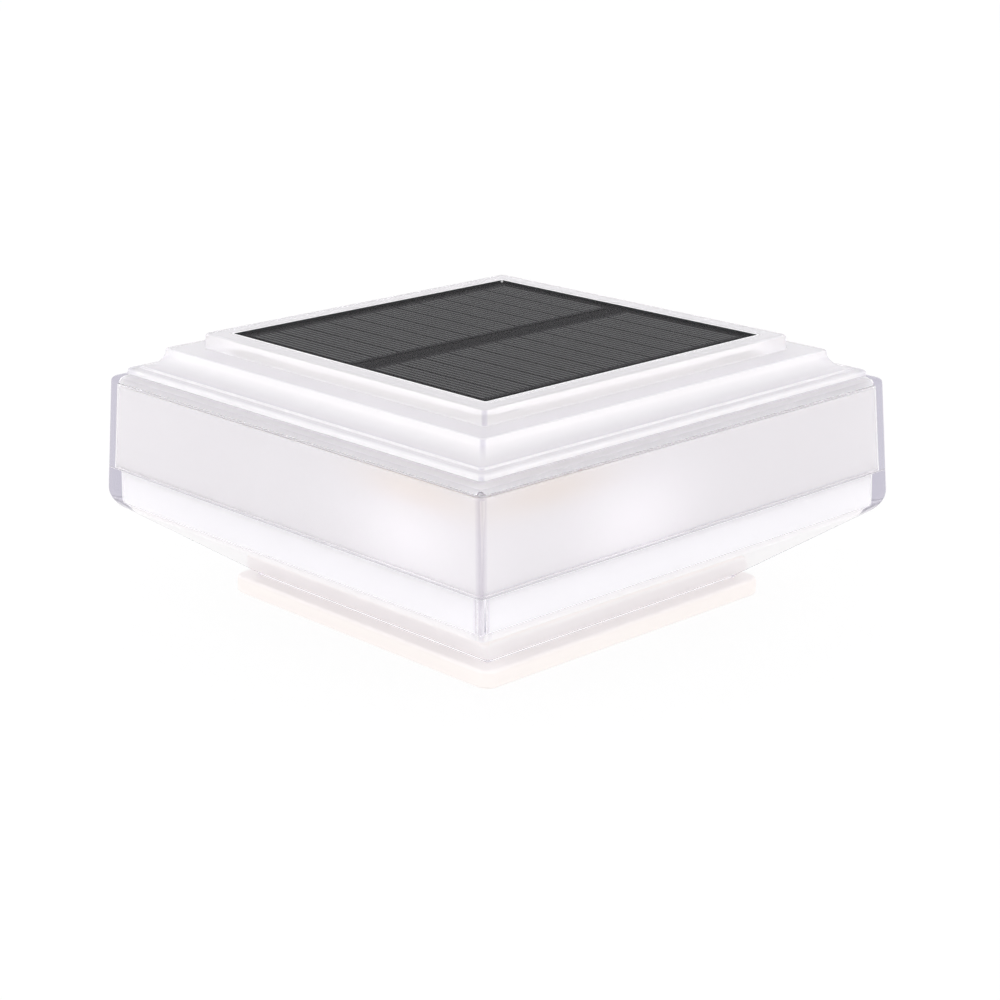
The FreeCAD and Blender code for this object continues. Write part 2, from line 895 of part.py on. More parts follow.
def control_parts():
    sockets = [
        board_part(socket_size, (step * socket_step, socket_place)) for step in (-1, 0, 1)
    ]
    return {
        "control_board": control_board(),
        "driver_chip": board_part(chip_size, chip_place),
        "inductor": board_can(inductor_radius, inductor_height, inductor_place),
        "capacitor": board_can(capacitor_radius, capacitor_height, capacitor_place),
        "wire_sockets": group(sockets),
    }


def switch_parts():
    """Slide switch under the control board, and its slider through the deck."""
    low = switch_bottom
    body = block(
        around(0, switch_length),
        around(switch_y, switch_width),
        (low, control_bottom),
    )
    room = knob_foot_length + 2 * (knob_travel + knob_gap)
    foot_low = low + switch_shell + knob_gap / 2
    cavity = block(
        around(0, min(room, switch_length - 2 * switch_shell)),
        around(switch_y, knob_foot_width + knob_gap),
        (low + switch_shell, foot_low + knob_foot_height + knob_gap / 2),
    )
    slot = block(
        around(0, knob_length + 2 * (knob_travel + knob_gap)),
        around(switch_y, knob_width + knob_gap),
        (low, low + switch_height / 2),
    )
    stem = block(
        around(0, knob_length),
        around(switch_y, knob_width),
        (deck_bottom - knob_stands_out, foot_low + knob_foot_height),
    )
    foot = block(
        around(0, knob_foot_length),
        around(switch_y, knob_foot_width),
        (foot_low, foot_low + knob_foot_height),
    )
    return {
        "switch_body": body.cut([cavity, slot]),
        "switch_knob": joined([stem, foot]),
    }


# ---- lamp boards ----

def lamp_boards():
    """Four upright boards round the cradle, each with its LEDs facing out."""
    board = block(
        around(lamp_board_shift, lamp_board_length),
        around(-lamp_board_out, lamp_board_thickness),
        (deck_top, deck_top + lamp_board_height),
    )
    face = -lamp_board_out - lamp_board_thickness / 2
    leds = [
        block(
            around(lamp_board_shift + step * led_step, led_length),
            (face - led_thickness, face),
            around(deck_top + led_rise, led_height),
        )
        for step in (-1, 0, 1)
    ]
    parts = {"led_board_" + side: turned(board, turn) for side, turn in side_turns.items()}
    parts["cool_leds"] = group([
        turned(led, degrees) for degrees in side_turns.values() for led in leds
    ])
    return parts


def centre_lamp():
    top = cradle_top + centre_board_thickness
    board = block(
        around(0, centre_board_length),
        around(0, centre_board_width),
        (cradle_top, top),
    )
    for side in (-1, 1):
        board = board.cut(rod(peg_radius + screw_fit, side * peg_place, 0, cradle_top, top))
    leds = []
    for column in range(warm_columns):
        for row in range(warm_rows):
            x = (column - (warm_columns - 1) / 2) * warm_step
            y = (row - (warm_rows - 1) / 2) * warm_row_step
            leds.append(block(
                around(x, led_length),
                around(y, led_height),
                (top, top + led_thickness),
            ))
    return {"centre_led_board": board, "warm_leds": group(leds)}


# ---- wiring ----

def panel_wires():
    solids = []
    tab = panel_bottom - tab_thickness
    for side in (-1, 1):
        start = side * panel_wire_step
        end = socket_step + side * socket_pin_step
        solids.append(wire([
            (start, panel_wire_y, tab),
            (start, panel_wire_y, liner_top - panel_wire_drop),
            (end, socket_y, socket_top + panel_wire_lead),
            (end, socket_y, socket_top),
        ]))
    return group(solids)


def battery_wires():
    solids = []
    tail_end = bay_half_length + cradle_wall + tail_length
    height = cell_axis + tail_height
    for side in (-1, 1):
        route = [(side * tail_end, 0, height)]
        for x, y, z in battery_wire_leaves:
            route.append((side * (tail_end + x), y, height + z))
        for x, y, z in battery_wire_bends:
            route.append((side * x, y, height + z))
        route.append((side * socket_pin_step, socket_y, socket_top + battery_wire_lead))
        route.append((side * socket_pin_step, socket_y, socket_top))
        solids.append(wire(route))
    return group(solids)


def led_wires():
    """Lamp wiring: to the north board, to the centre board, and round between boards."""
    inner_face = lamp_board_out - lamp_board_thickness / 2
    height = deck_top + led_rise
    x = -socket_step
    north = inner_face - north_wire_reach
    to_north = wire([
        (x - socket_pin_step, socket_y, socket_top),
        (x - socket_pin_step, socket_y, socket_top + north_wire_lead),
        (x, north, socket_top + north_wire_lead - north_wire_drop),
        (x, north, height),
        (x, inner_face, height),
    ])
    centre_top = cradle_top + centre_board_thickness
    bend_y, bend_rise = centre_wire_bend
    end_shift, end_y, end_rise = centre_wire_end
    to_centre = wire([
        (x + socket_pin_step, socket_y, socket_top),
        (x + socket_pin_step, socket_y, socket_top + centre_wire_lead),
        (x, bend_y, centre_top + bend_rise),
        (x - end_shift, end_y, centre_top + end_rise),
        (x - end_shift, end_y, centre_top),
    ])
    link = wire([(a - inner_face, inner_face - b, height) for a, b in link_route])
    return group([to_north, to_centre] + [turned(link, turn) for turn in (0, 90, 180)])


# ---- screws ----

def screws():
    head = (screw_head_radius, screw_head_height)
    small_head = (small_head_radius, small_head_height)
    seat = deck_bottom + head_recess
    reach = pad_top - seat + housing_screw_length
    return {
        "housing_screws": group([
            screw(x, y, seat, screw_radius, head, reach, 1)
            for x, y in corners(post_place)
        ]),
        "board_screws": group([
            screw(x, y, control_top, small_screw_radius, small_head, small_screw_length, -1)
            for x, y in boss_places()
        ]),
        "cradle_screws": group([
            screw(
                side * foot_place, 0, pad_top + cradle_foot_thickness,
                small_screw_radius, small_head, small_screw_length, -1,
            )
            for side in (-1, 1)
        ]),
    }


def all_parts():
    parts = {
        "base_collar": base_collar(),
        "lower_tray": lower_tray(),
        "seam_seal": seam_seal(),
        "clear_housing": clear_housing(),
        "frosted_liner": frosted_liner(),
        "deck": deck(),
        "battery_cradle": battery_cradle(),
        "battery_cell": battery_cell(),
        "contact_plates": contact_plates(),
        "contact_spring": contact_spring(),
        "panel_wires": panel_wires(),
        "battery_wires": battery_wires(),
        "led_wires": led_wires(),
    }
    for more in (solar_panel(), door_parts(), control_parts(), switch_parts(),
                 lamp_boards(), centre_lamp(), screws()):
        parts.update(more)
    return parts


os.makedirs("parts", exist_ok=True)
for name, shape in all_parts().items():
    if not shape.isValid():
        print("not valid:", name)
    print(name, len(shape.Solids), round(shape.Volume, 1))
    shape.exportStep(os.path.join("parts", name + ".step"))
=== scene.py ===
import bpy
import math
from mathutils import Matrix, Vector


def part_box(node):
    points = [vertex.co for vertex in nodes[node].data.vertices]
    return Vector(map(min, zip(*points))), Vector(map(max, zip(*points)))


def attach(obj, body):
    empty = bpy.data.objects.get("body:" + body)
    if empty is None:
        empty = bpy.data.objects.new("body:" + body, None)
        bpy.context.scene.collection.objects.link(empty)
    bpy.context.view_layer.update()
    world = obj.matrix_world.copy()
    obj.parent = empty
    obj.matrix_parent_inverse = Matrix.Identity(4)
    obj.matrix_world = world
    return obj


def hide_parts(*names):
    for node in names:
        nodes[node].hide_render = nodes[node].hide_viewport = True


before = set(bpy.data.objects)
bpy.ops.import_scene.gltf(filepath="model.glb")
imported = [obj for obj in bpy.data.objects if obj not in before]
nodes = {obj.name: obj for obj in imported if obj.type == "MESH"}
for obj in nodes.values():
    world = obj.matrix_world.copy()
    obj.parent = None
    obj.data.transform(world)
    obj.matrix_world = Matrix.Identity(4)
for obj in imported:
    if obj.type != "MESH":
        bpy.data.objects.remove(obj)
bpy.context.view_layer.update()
scene = bpy.context.scene
scene.view_settings.view_transform = "Standard"
mm = 0.001  # shapes are written in millimetres and made in metres


# small helpers

def addNode(tree, kind, place=(0, 0), **settings):
    node = tree.nodes.new(kind)
    node.location = place
    for name, value in settings.items():
        setattr(node, name, value)
    return node


def newMaterial(name):
    material = bpy.data.materials.new(name)
    material.use_nodes = True
    material.node_tree.nodes.clear()
    return material


def addRange(tree, value, low, high, place):
    # low where the value is 0, high where it is 1
    spread = addNode(tree, "ShaderNodeMapRange", place)
    spread.inputs["To Min"].default_value = low
    spread.inputs["To Max"].default_value = high
    tree.links.new(value, spread.inputs["Value"])
    return spread.outputs["Result"]


def addBlend(tree, mask, first, second, place, **settings):
    # blends two colours by a mask; a colour is three numbers or another node's output
    blend = addNode(tree, "ShaderNodeMix", place, data_type="RGBA", **settings)
    tree.links.new(mask, blend.inputs["Factor"])
    for label, color in (("A", first), ("B", second)):
        if isinstance(color, bpy.types.NodeSocket):
            tree.links.new(color, blend.inputs[label])
        else:
            blend.inputs[label].default_value = (*color, 1)
    return blend.outputs["Result"]


def addBump(tree, height, strength, depth, place):
    bump = addNode(tree, "ShaderNodeBump", place)
    bump.inputs["Strength"].default_value = strength
    bump.inputs["Distance"].default_value = depth
    tree.links.new(height, bump.inputs["Height"])
    return bump.outputs["Normal"]


def addSurface(tree, color, normal, fixed):
    # the shader and its output; fixed holds what is the same all over
    shader = addNode(tree, "ShaderNodeBsdfPrincipled", (0, 0))
    result = addNode(tree, "ShaderNodeOutputMaterial", (300, 0))
    for label, value in fixed.items():
        shader.inputs[label].default_value = value
    tree.links.new(color, shader.inputs["Base Color"])
    tree.links.new(normal, shader.inputs["Normal"])
    tree.links.new(shader.outputs["BSDF"], result.inputs["Surface"])
    return shader


def dress(piece, *materials):
    piece.data.materials.clear()
    for material in materials:
        piece.data.materials.append(material)


def newPiece(name, verts, faces):
    mesh = bpy.data.meshes.new(name)
    mesh.from_pydata([Vector(vert) * mm for vert in verts], [], faces)
    piece = bpy.data.objects.new(name, mesh)
    scene.collection.objects.link(piece)
    return piece


def bake(piece):
    # turns the piece and its modifiers into a plain mesh
    graph = bpy.context.evaluated_depsgraph_get()
    done = bpy.data.meshes.new_from_object(piece.evaluated_get(graph))
    done.name = piece.name
    piece.modifiers.clear()
    piece.data = done


def smooth(piece, sharp=35):
    # smooths all but the sharp edges, weighted by face size so flat faces stay flat
    piece.data.shade_smooth()
    piece.data.set_sharp_from_angle(angle=math.radians(sharp))
    weighted = piece.modifiers.new("weighted", "WEIGHTED_NORMAL")
    weighted.keep_sharp = True
    bake(piece)


def placePiece(piece, body, slot, *stoodFor):
    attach(piece, body)
    if stoodFor:
        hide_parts(*stoodFor)


def halfWidth(name):
    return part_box(name)[1].x / mm


def footOf(name):
    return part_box(name)[0].z / mm


def topOf(name):
    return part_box(name)[1].z / mm


# rounded square shells: a line of (half width, height, rounding, material slot) swept round a square

def roundedLine(points, steps):
    line = []
    for place, (half, height, rounding, slot) in enumerate(points):
        here = Vector((half, height))
        if not rounding:
            line.append((here, slot))
            continue
        back = (Vector(points[place - 1][:2]) - here).normalized()
        ahead = (Vector(points[(place + 1) % len(points)][:2]) - here).normalized()
        opening = back.angle(ahead) / 2
        centre = here + (back + ahead).normalized() * rounding / math.sin(opening)
        reach = rounding / math.tan(opening)
        start = here + back * reach - centre
        end = here + ahead * reach - centre
        turn = math.atan2(start.cross(end), start.dot(end))
        for step in range(steps + 1):
            line.append((centre + Matrix.Rotation(turn * step / steps, 2) @ start, slot))
    return line


def squareRing(half, height, corner, steps):
    ring = []
    for quarter in range(4):
        middle = math.radians(45 + 90 * quarter)
        across = math.copysign(half - corner, math.cos(middle))
        along = math.copysign(half - corner, math.sin(middle))
        for step in range(steps + 1):
            angle = math.radians(90) * (quarter + step / steps)
            ring.append((across + corner * math.cos(angle), along + corner * math.sin(angle), height))
    return ring


def squareShell(name, points, materials, corner, closed, arcSteps=6, cornerSteps=6):
    # an open line is capped at both ends
    line = roundedLine(points, arcSteps)
    verts = []
    for place, _ in line:
        verts += squareRing(place.x, place.y, corner, cornerSteps)
    count = 4 * (cornerSteps + 1)
    faces = []
    slots = []
    for row in range(len(line) if closed else len(line) - 1):
        here = row * count
        there = (row + 1) % len(line) * count
        for column in range(count):
            after = (column + 1) % count
            faces.append((here + column, here + after, there + after, there + column))
            slots.append(line[row][1])
    if not closed:
        last = (len(line) - 1) * count
        faces += [tuple(reversed(range(count))), tuple(range(last, last + count))]
        slots += [line[0][1], line[-1][1]]
    piece = newPiece(name, verts, faces)
    dress(piece, *materials)
    for face, slot in zip(piece.data.polygons, slots):
        face.material_index = slot
    return piece


def boolean(piece, other, operation):
    cut = piece.modifiers.new("cut", "BOOLEAN")
    cut.operation = operation
    cut.object = other
    bake(piece)
    bpy.data.objects.remove(other)


# shader groups that several materials share

def newGroup(name, inputs, outputs):
    # inputs are labels with their starting values; gives the tree, its ends and its coordinates
    tree = bpy.data.node_groups.new(name, "ShaderNodeTree")
    for label, start in inputs.items():
        kind = "NodeSocketFloat" if isinstance(start, float) else "NodeSocketVector"
        socket = tree.interface.new_socket(label, in_out="INPUT", socket_type=kind)
        socket.default_value = start
    for label in outputs:
        tree.interface.new_socket(label, in_out="OUTPUT", socket_type="NodeSocketFloat")
    given = addNode(tree, "NodeGroupInput", (-1100, 0))
    result = addNode(tree, "NodeGroupOutput", (400, 0))
    where = addNode(tree, "ShaderNodeTexCoord", (-1100, -300))
    return tree, given, result, where


def mouldGroup():
    # fine grain and slow waves of moulded plastic: a height for Bump and a slow mottle
    starts = {"Grain Size": 900.0, "Wave Size": 30.0, "Grain": 0.5}
    tree, given, result, where = newGroup("mouldedSurface", starts, ("Height", "Mottle"))
    grain = addNode(tree, "ShaderNodeTexNoise", (-600, 150))
    wave = addNode(tree, "ShaderNodeTexNoise", (-600, -150))
    grain.inputs["Detail"].default_value = 2.0
    wave.inputs["Detail"].default_value = 1.0
    blend = addNode(tree, "ShaderNodeMix", (-200, 50), data_type="FLOAT")
    link = tree.links.new
    link(where.outputs["Object"], grain.inputs["Vector"])
    link(where.outputs["Object"], wave.inputs["Vector"])
    link(given.outputs["Grain Size"], grain.inputs["Scale"])
    link(given.outputs["Wave Size"], wave.inputs["Scale"])
    link(given.outputs["Grain"], blend.inputs["Factor"])
    link(wave.outputs["Fac"], blend.inputs["A"])
    link(grain.outputs["Fac"], blend.inputs["B"])
    link(blend.outputs["Result"], result.inputs["Height"])
    link(wave.outputs["Fac"], result.inputs["Mottle"])
    return tree


def glowGroup():
    # 1 at Centre, fading to 0 away from it; Reach is how far, along each axis
    starts = {"Centre": (0, 0, 0), "Reach": (0, 0, 0)}
    tree, given, result, where = newGroup("softGlow", starts, ("Glow",))
    away = addNode(tree, "ShaderNodeVectorMath", (-700, 0), operation="SUBTRACT")
    scaled = addNode(tree, "ShaderNodeVectorMath", (-500, 0), operation="DIVIDE")
    squared = addNode(tree, "ShaderNodeVectorMath", (-300, 0), operation="DOT_PRODUCT")
    flip = addNode(tree, "ShaderNodeMath", (-100, 0), operation="MULTIPLY")
    flip.inputs[1].default_value = -1.0
    fade = addNode(tree, "ShaderNodeMath", (100, 0), operation="EXPONENT")
    link = tree.links.new
    link(where.outputs["Object"], away.inputs[0])
    link(given.outputs["Centre"], away.inputs[1])
    link(away.outputs["Vector"], scaled.inputs[0])
    link(given.outputs["Reach"], scaled.inputs[1])
    link(scaled.outputs["Vector"], squared.inputs[0])
    link(scaled.outputs["Vector"], squared.inputs[1])
    link(squared.outputs["Value"], flip.inputs[0])
    link(flip.outputs["Value"], fade.inputs[0])
    link(fade.outputs["Value"], result.inputs["Glow"])
    return tree


def facingGroup():
    # Level is 1 on faces that look up, Corner is 1 where an upright corner turns
    starts = {"Level Start": 0.3, "Corner Full": 0.4}
    tree, given, result, where = newGroup("facingMask", starts, ("Level", "Corner"))
    facing = addNode(tree, "ShaderNodeSeparateXYZ", (-700, -200))
    across = addNode(tree, "ShaderNodeMath", (-500, -300), operation="MULTIPLY")
    turned = addNode(tree, "ShaderNodeMath", (-300, -300), operation="ABSOLUTE")
    corner = addNode(tree, "ShaderNodeMapRange", (-100, -300))
    level = addNode(tree, "ShaderNodeMapRange", (-100, 0))
    link = tree.links.new
    link(where.outputs["Normal"], facing.inputs["Vector"])
    link(facing.outputs["X"], across.inputs[0])
    link(facing.outputs["Y"], across.inputs[1])
    link(across.outputs["Value"], turned.inputs[0])
    link(turned.outputs["Value"], corner.inputs["Value"])
    link(given.outputs["Corner Full"], corner.inputs["From Max"])
    link(facing.outputs["Z"], level.inputs["Value"])
    link(given.outputs["Level Start"], level.inputs["From Min"])
    link(level.outputs["Result"], result.inputs["Level"])
    link(corner.outputs["Result"], result.inputs["Corner"])
    return tree


mouldedSurface = mouldGroup()
softGlow = glowGroup()
facingMask = facingGroup()


def addMould(tree, grainSize, waveSize, grain, strength, depth):
    # gives the slow mottle and the bumped normal of a moulded surface
    group = addNode(tree, "ShaderNodeGroup", (-900, -500), node_tree=mouldedSurface)
    group.inputs["Grain Size"].default_value = grainSize
    group.inputs["Wave Size"].default_value = waveSize
    group.inputs["Grain"].default_value = grain
    normal = addBump(tree, group.outputs["Height"], strength, depth, (-600, -500))
    return group.outputs["Mottle"], normal


plastic = {
    "bumpDepth": 0.0002,
    "shineDrift": 0.12,  # how far the roughness drifts either way
}


def plasticMaterial(name, low, high, roughness, grainSize=900.0, waveSize=25.0, grain=0.6,
                    strength=0.25, coat=0.0, specular=0.5):
    # opaque finish whose colour and shine drift a little between low and high
    material = newMaterial(name)
    tree = material.node_tree
    mottle, normal = addMould(tree, grainSize, waveSize, grain, strength, plastic["bumpDepth"])
    color = addBlend(tree, mottle, low, high, (-350, 150))
    drift = roughness * plastic["shineDrift"]
    shine = addRange(tree, mottle, roughness - drift, min(roughness + drift, 1.0), (-350, -50))
    shader = addSurface(tree, color, normal, {"Coat Weight": coat, "Specular IOR Level": specular})
    tree.links.new(shine, shader.inputs["Roughness"])
    return material


def setGlow(material, color, strength):
    shader = material.node_tree.nodes["Principled BSDF"]
    shader.inputs["Emission Color"].default_value = (*color, 1)
    shader.inputs["Emission Strength"].default_value = strength


def tintBase(material, mask, tint):
    # multiplies the base colour by the tint where the mask is 1
    tree = material.node_tree
    base = tree.nodes["Principled BSDF"].inputs["Base Color"]
    color = base.links[0].from_socket
    tree.links.new(addBlend(tree, mask, color, tint, (-170, 300), blend_type="MULTIPLY"), base)


# clear plastic: polished outside, milky where it is textured inside

clearPlastic = {
    "ior": 1.45,
    "grainSize": 1200.0,
    "waveSize": 45.0,
    "grain": 0.02,
    "bump": 0.08,
    "bumpDepth": 0.0004,
    "shadowColor": (0.97, 0.965, 0.98),  # what light is left after a face
    "absorbColor": (0.60, 0.57, 0.68),
    "absorbDensity": 7.0,
    "deepPaintedColor": (0.62, 0.60, 0.68),  # painted glow colour, standing for light met deep inside, where the wall leads it along
    "deepStart": 2.5,  # reflections before the painted glow starts
    "deepPaintedGlow": 0.34,
    "paintedLampColor": (1.0, 0.96, 0.955),  # painted glow colour, standing for the lit lamps' light spread by the milky faces
}

# white is the share of a face that is white instead of clear, paintedLampGlow is a painted glow in it
# standing for the lamps' light, levelShade is painted shade on faces that look up and cornerShade is painted
# shade where the upright corners turn
clearFaces = {
    "clearPolished": {"roughness": 0.03, "white": 0.0, "paintedLampGlow": 0.0, "tint": (0.99, 0.985, 0.995),
                      "levelShade": (0.99, 0.985, 0.995), "cornerShade": (0.86, 0.84, 0.88)},
    # clearEdge covers the shoulder; its lower tint is painted shade on that band
    "clearEdge": {"roughness": 0.06, "white": 0.0, "paintedLampGlow": 0.0, "tint": (0.94, 0.93, 0.95),
                  "levelShade": (0.88, 0.87, 0.90), "cornerShade": (0.84, 0.82, 0.87)},
    "clearSatin": {"roughness": 0.06, "white": 0.48, "paintedLampGlow": 0.025, "tint": (0.98, 0.97, 0.985),
                   "levelShade": (0.69, 0.68, 0.71), "cornerShade": (0.74, 0.72, 0.80)},
    "clearFrosted": {"roughness": 0.4, "white": 0.7, "paintedLampGlow": 0.12, "tint": (0.99, 0.985, 0.995),
                     "levelShade": (0.99, 0.985, 0.995), "cornerShade": (0.86, 0.84, 0.88)},
    "clearMilky": {"roughness": 0.4, "white": 0.9, "paintedLampGlow": 0.165, "tint": (0.99, 0.975, 0.975),
                   "levelShade": (0.99, 0.975, 0.975), "cornerShade": (0.86, 0.84, 0.87)},
}


def clearMaterial(name, values, face):
    material = newMaterial(name)
    tree = material.node_tree
    _, normal = addMould(tree, values["grainSize"], values["waveSize"], values["grain"],
                         values["bump"], values["bumpDepth"])
    facing = addNode(tree, "ShaderNodeGroup", (-550, 50), node_tree=facingMask)
    # painted shade: upright corners take cornerShade and faces that look up take levelShade
    tint = addBlend(tree, facing.outputs["Corner"], face["tint"], face["cornerShade"], (-300, 100))
    color = addBlend(tree, facing.outputs["Level"], tint, face["levelShade"], (-150, 0))
    # painted glow: after deepStart reflections inside the wall the clear faces give off deepPaintedColor
    # light; before that the milky faces give off paintedLampGlow
    path = addNode(tree, "ShaderNodeLightPath", (-900, 450))
    deep = addNode(tree, "ShaderNodeMath", (-700, 450), operation="GREATER_THAN")
    deep.inputs[1].default_value = values["deepStart"]
    isDeep = deep.outputs["Value"]
    glow = addRange(tree, isDeep, face["paintedLampGlow"], values["deepPaintedGlow"], (-450, 550))
    paintedGlowColor = addBlend(tree, isDeep, values["paintedLampColor"], values["deepPaintedColor"], (-450, 300))
    glass = addNode(tree, "ShaderNodeBsdfPrincipled", (50, 0))
    glass.inputs["Roughness"].default_value = face["roughness"]
    glass.inputs["IOR"].default_value = values["ior"]
    glass.inputs["Transmission Weight"].default_value = 1.0 - face["white"]
    clearWay = addNode(tree, "ShaderNodeBsdfTransparent", (50, -450))
    clearWay.inputs["Color"].default_value = (*values["shadowColor"], 1)
    mix = addNode(tree, "ShaderNodeMixShader", (370, 0))
    absorb = addNode(tree, "ShaderNodeVolumeAbsorption", (370, -250))
    absorb.inputs["Color"].default_value = (*values["absorbColor"], 1)
    absorb.inputs["Density"].default_value = values["absorbDensity"]
    result = addNode(tree, "ShaderNodeOutputMaterial", (600, 0))
    link = tree.links.new
    link(path.outputs["Glossy Depth"], deep.inputs[0])
    link(color, glass.inputs["Base Color"])
    link(normal, glass.inputs["Normal"])
    link(glow, glass.inputs["Emission Strength"])
    link(paintedGlowColor, glass.inputs["Emission Color"])
    link(path.outputs["Is Shadow Ray"], mix.inputs["Fac"])
    link(glass.outputs["BSDF"], mix.inputs[1])
    link(clearWay.outputs["BSDF"], mix.inputs[2])
    link(mix.outputs["Shader"], result.inputs["Surface"])
    link(absorb.outputs["Volume"], result.inputs["Volume"])
    return material


clearFinishes = [clearMaterial(name, clearPlastic, face) for name, face in clearFaces.items()]
clearSlot, edgeSlot, satinSlot, frostSlot, milkSlot = range(5)  # places in clearFinishes

clearBody = {
    "width": 160.0,  # at the lowest part of the wall
    "widest": 32.5,  # height of that part
    "draft": 3.2,  # degrees
    "corner": 1.3,
    "edge": 0.25,  # rounding of small edges
}


def wallHalf(height):
    lean = math.tan(math.radians(clearBody["draft"]))
    return clearBody["width"] / 2 - (height - clearBody["widest"]) * lean


# upper clear housing, from the seam up to the rim round the panel

clearHousing = {
    "wall": 2.0,
    "shoulder": (26.5, 1.0, 1.6, 0.8),  # height above the wall's foot, rise to the bead, roundings
    "shoulderWidth": 3.3,
    "bead": (2.7, 1.6, 0.9),  # width, rise, rounding
    "cove": (0.7, 5.4, 4.8, 0.35),  # foot above the bead, width, radius, land above it
    "coveSkin": 0.7,  # what the cove's radius grows by inside
    "insideRound": 0.4,
    "ledge": (8.0, 0.45),  # width, rounding
    "rim": (0.2, 0.7),  # draft, rounding
    "panelEdge": (0.9, 0.7),  # bevel round the panel: width, depth
    "panelGap": 0.2,
    "panelFloor": 2.0,
    "floorInset": 2.0,
    "postRadius": 4.0,
    "postSides": 32,
    "postPlace": 42.0,
    "wireHole": (12.0, 7.0, 24.98, 1.0),  # length, width, place behind the middle, reach past the floor
}


def makeHousing(values):
    foot = topOf("seam_seal")
    top = topOf("clear_housing")
    panelHalf = halfWidth("panel_board")
    panelSeat = footOf("panel_tape")
    wall = values["wall"]
    edge = clearBody["edge"]
    insideRound = values["insideRound"]
    shoulderRise, beadRise, shoulderRound, shoulderInside = values["shoulder"]
    beadWidth, beadHeight, beadRound = values["bead"]
    coveDrop, coveWidth, coveRadius, coveLand = values["cove"]
    ledgeWidth, ledgeRound = values["ledge"]
    rimDraft, rimRound = values["rim"]
    bevelWidth, bevelDepth = values["panelEdge"]
    shoulder = foot + shoulderRise
    shoulderHalf = wallHalf(shoulder)
    beadFoot = shoulder + beadRise
    beadTop = beadFoot + beadHeight
    beadHalf = shoulderHalf - values["shoulderWidth"]
    coveHalf = beadHalf - beadWidth
    coveFoot = beadTop + coveDrop
    ledgeHalf = coveHalf - coveWidth
    ledge = coveFoot + coveRadius + coveLand
    rimHalf = ledgeHalf - ledgeWidth
    pocketHalf = panelHalf + values["panelGap"]
    floorHalf = rimHalf - values["floorInset"]
    floor = panelSeat - values["panelFloor"]
    inside = [
        (floorHalf, floor, 0, frostSlot),
        (floorHalf, ledge - wall, insideRound, frostSlot),
        (ledgeHalf - wall, ledge - wall, insideRound, frostSlot),
        (ledgeHalf - wall, beadTop - wall, coveRadius + values["coveSkin"], frostSlot),
        (beadHalf - wall, beadTop - wall, insideRound, frostSlot),
        (beadHalf - wall, beadFoot - wall, edge, frostSlot),
        (shoulderHalf - wall, shoulder - wall, shoulderInside, clearSlot),
        (wallHalf(foot) - wall, foot, 0, clearSlot),
    ]
    outside = [
        (wallHalf(foot), foot, 0, clearSlot),
        (shoulderHalf, shoulder, shoulderRound, edgeSlot),
        (beadHalf, beadFoot, edge, satinSlot),
        (beadHalf, beadTop, beadRound, satinSlot),
        (coveHalf, beadTop, edge, satinSlot),
        (coveHalf, coveFoot, edge, satinSlot),
        (ledgeHalf, coveFoot, coveRadius, satinSlot),
        (ledgeHalf, ledge, ledgeRound, satinSlot),
        (rimHalf, ledge, edge, satinSlot),
        (rimHalf - rimDraft, top, rimRound, satinSlot),
        (pocketHalf + bevelWidth, top, edge, satinSlot),
        (pocketHalf, top - bevelDepth, 0, milkSlot),
        (pocketHalf, panelSeat, 0, milkSlot),
    ]
    piece = squareShell("clearHousing", inside + outside, clearFinishes, clearBody["corner"], closed=False)
    for x in (-1, 1):
        for y in (-1, 1):
            boolean(piece, makePost(values, x, y, floor), "UNION")
    boolean(piece, makeWireHole(values, floor, panelSeat), "DIFFERENCE")
    smooth(piece)
    placePiece(piece, "lamp", "clear_plastic", "clear_housing")


def makePost(values, x, y, floor):
    # a clear screw post, sunk into the floor that it hangs from
    foot = footOf("clear_housing")
    top = floor + values["panelFloor"] / 2
    place = Vector((x * values["postPlace"], y * values["postPlace"], (foot + top) / 2))
    bpy.ops.mesh.primitive_cylinder_add(vertices=values["postSides"], radius=values["postRadius"] * mm,
                                        depth=(top - foot) * mm, location=place * mm)
    dress(bpy.context.object, clearFinishes[clearSlot])
    return bpy.context.object


def makeWireHole(values, low, high):
    # cuts the way through the pocket's floor for the panel's wires: a small block, drawn out
    length, width, place, past = values["wireHole"]
    line = [(0.5, low - past, 0, clearSlot), (0.5, high + past, 0, clearSlot)]
    cutter = squareShell("wireHole", line, clearFinishes[:1], 0.1, closed=False)
    cutter.data.transform(Matrix.Diagonal((length, width, 1, 1)))
    cutter.data.transform(Matrix.Translation(Vector((0, place, 0)) * mm))
    return cutter


# lower clear tray, from the seam down to the neck

clearTray = {
    "wall": 4.2,
    "shelf": 2.0,
    "shelfHeight": 28.5,
    "neckHalf": 49.8,
    "neckLand": 1.0,
    "neckRound": 0.2,
    "slopeStart": 0.5,
    "lowerCorner": (80.246, 28.1, 7.5),  # half width, height, rounding
    "skin": 2.0,
    "shelfRound": 0.2,
    "insideRound": 0.6,
}


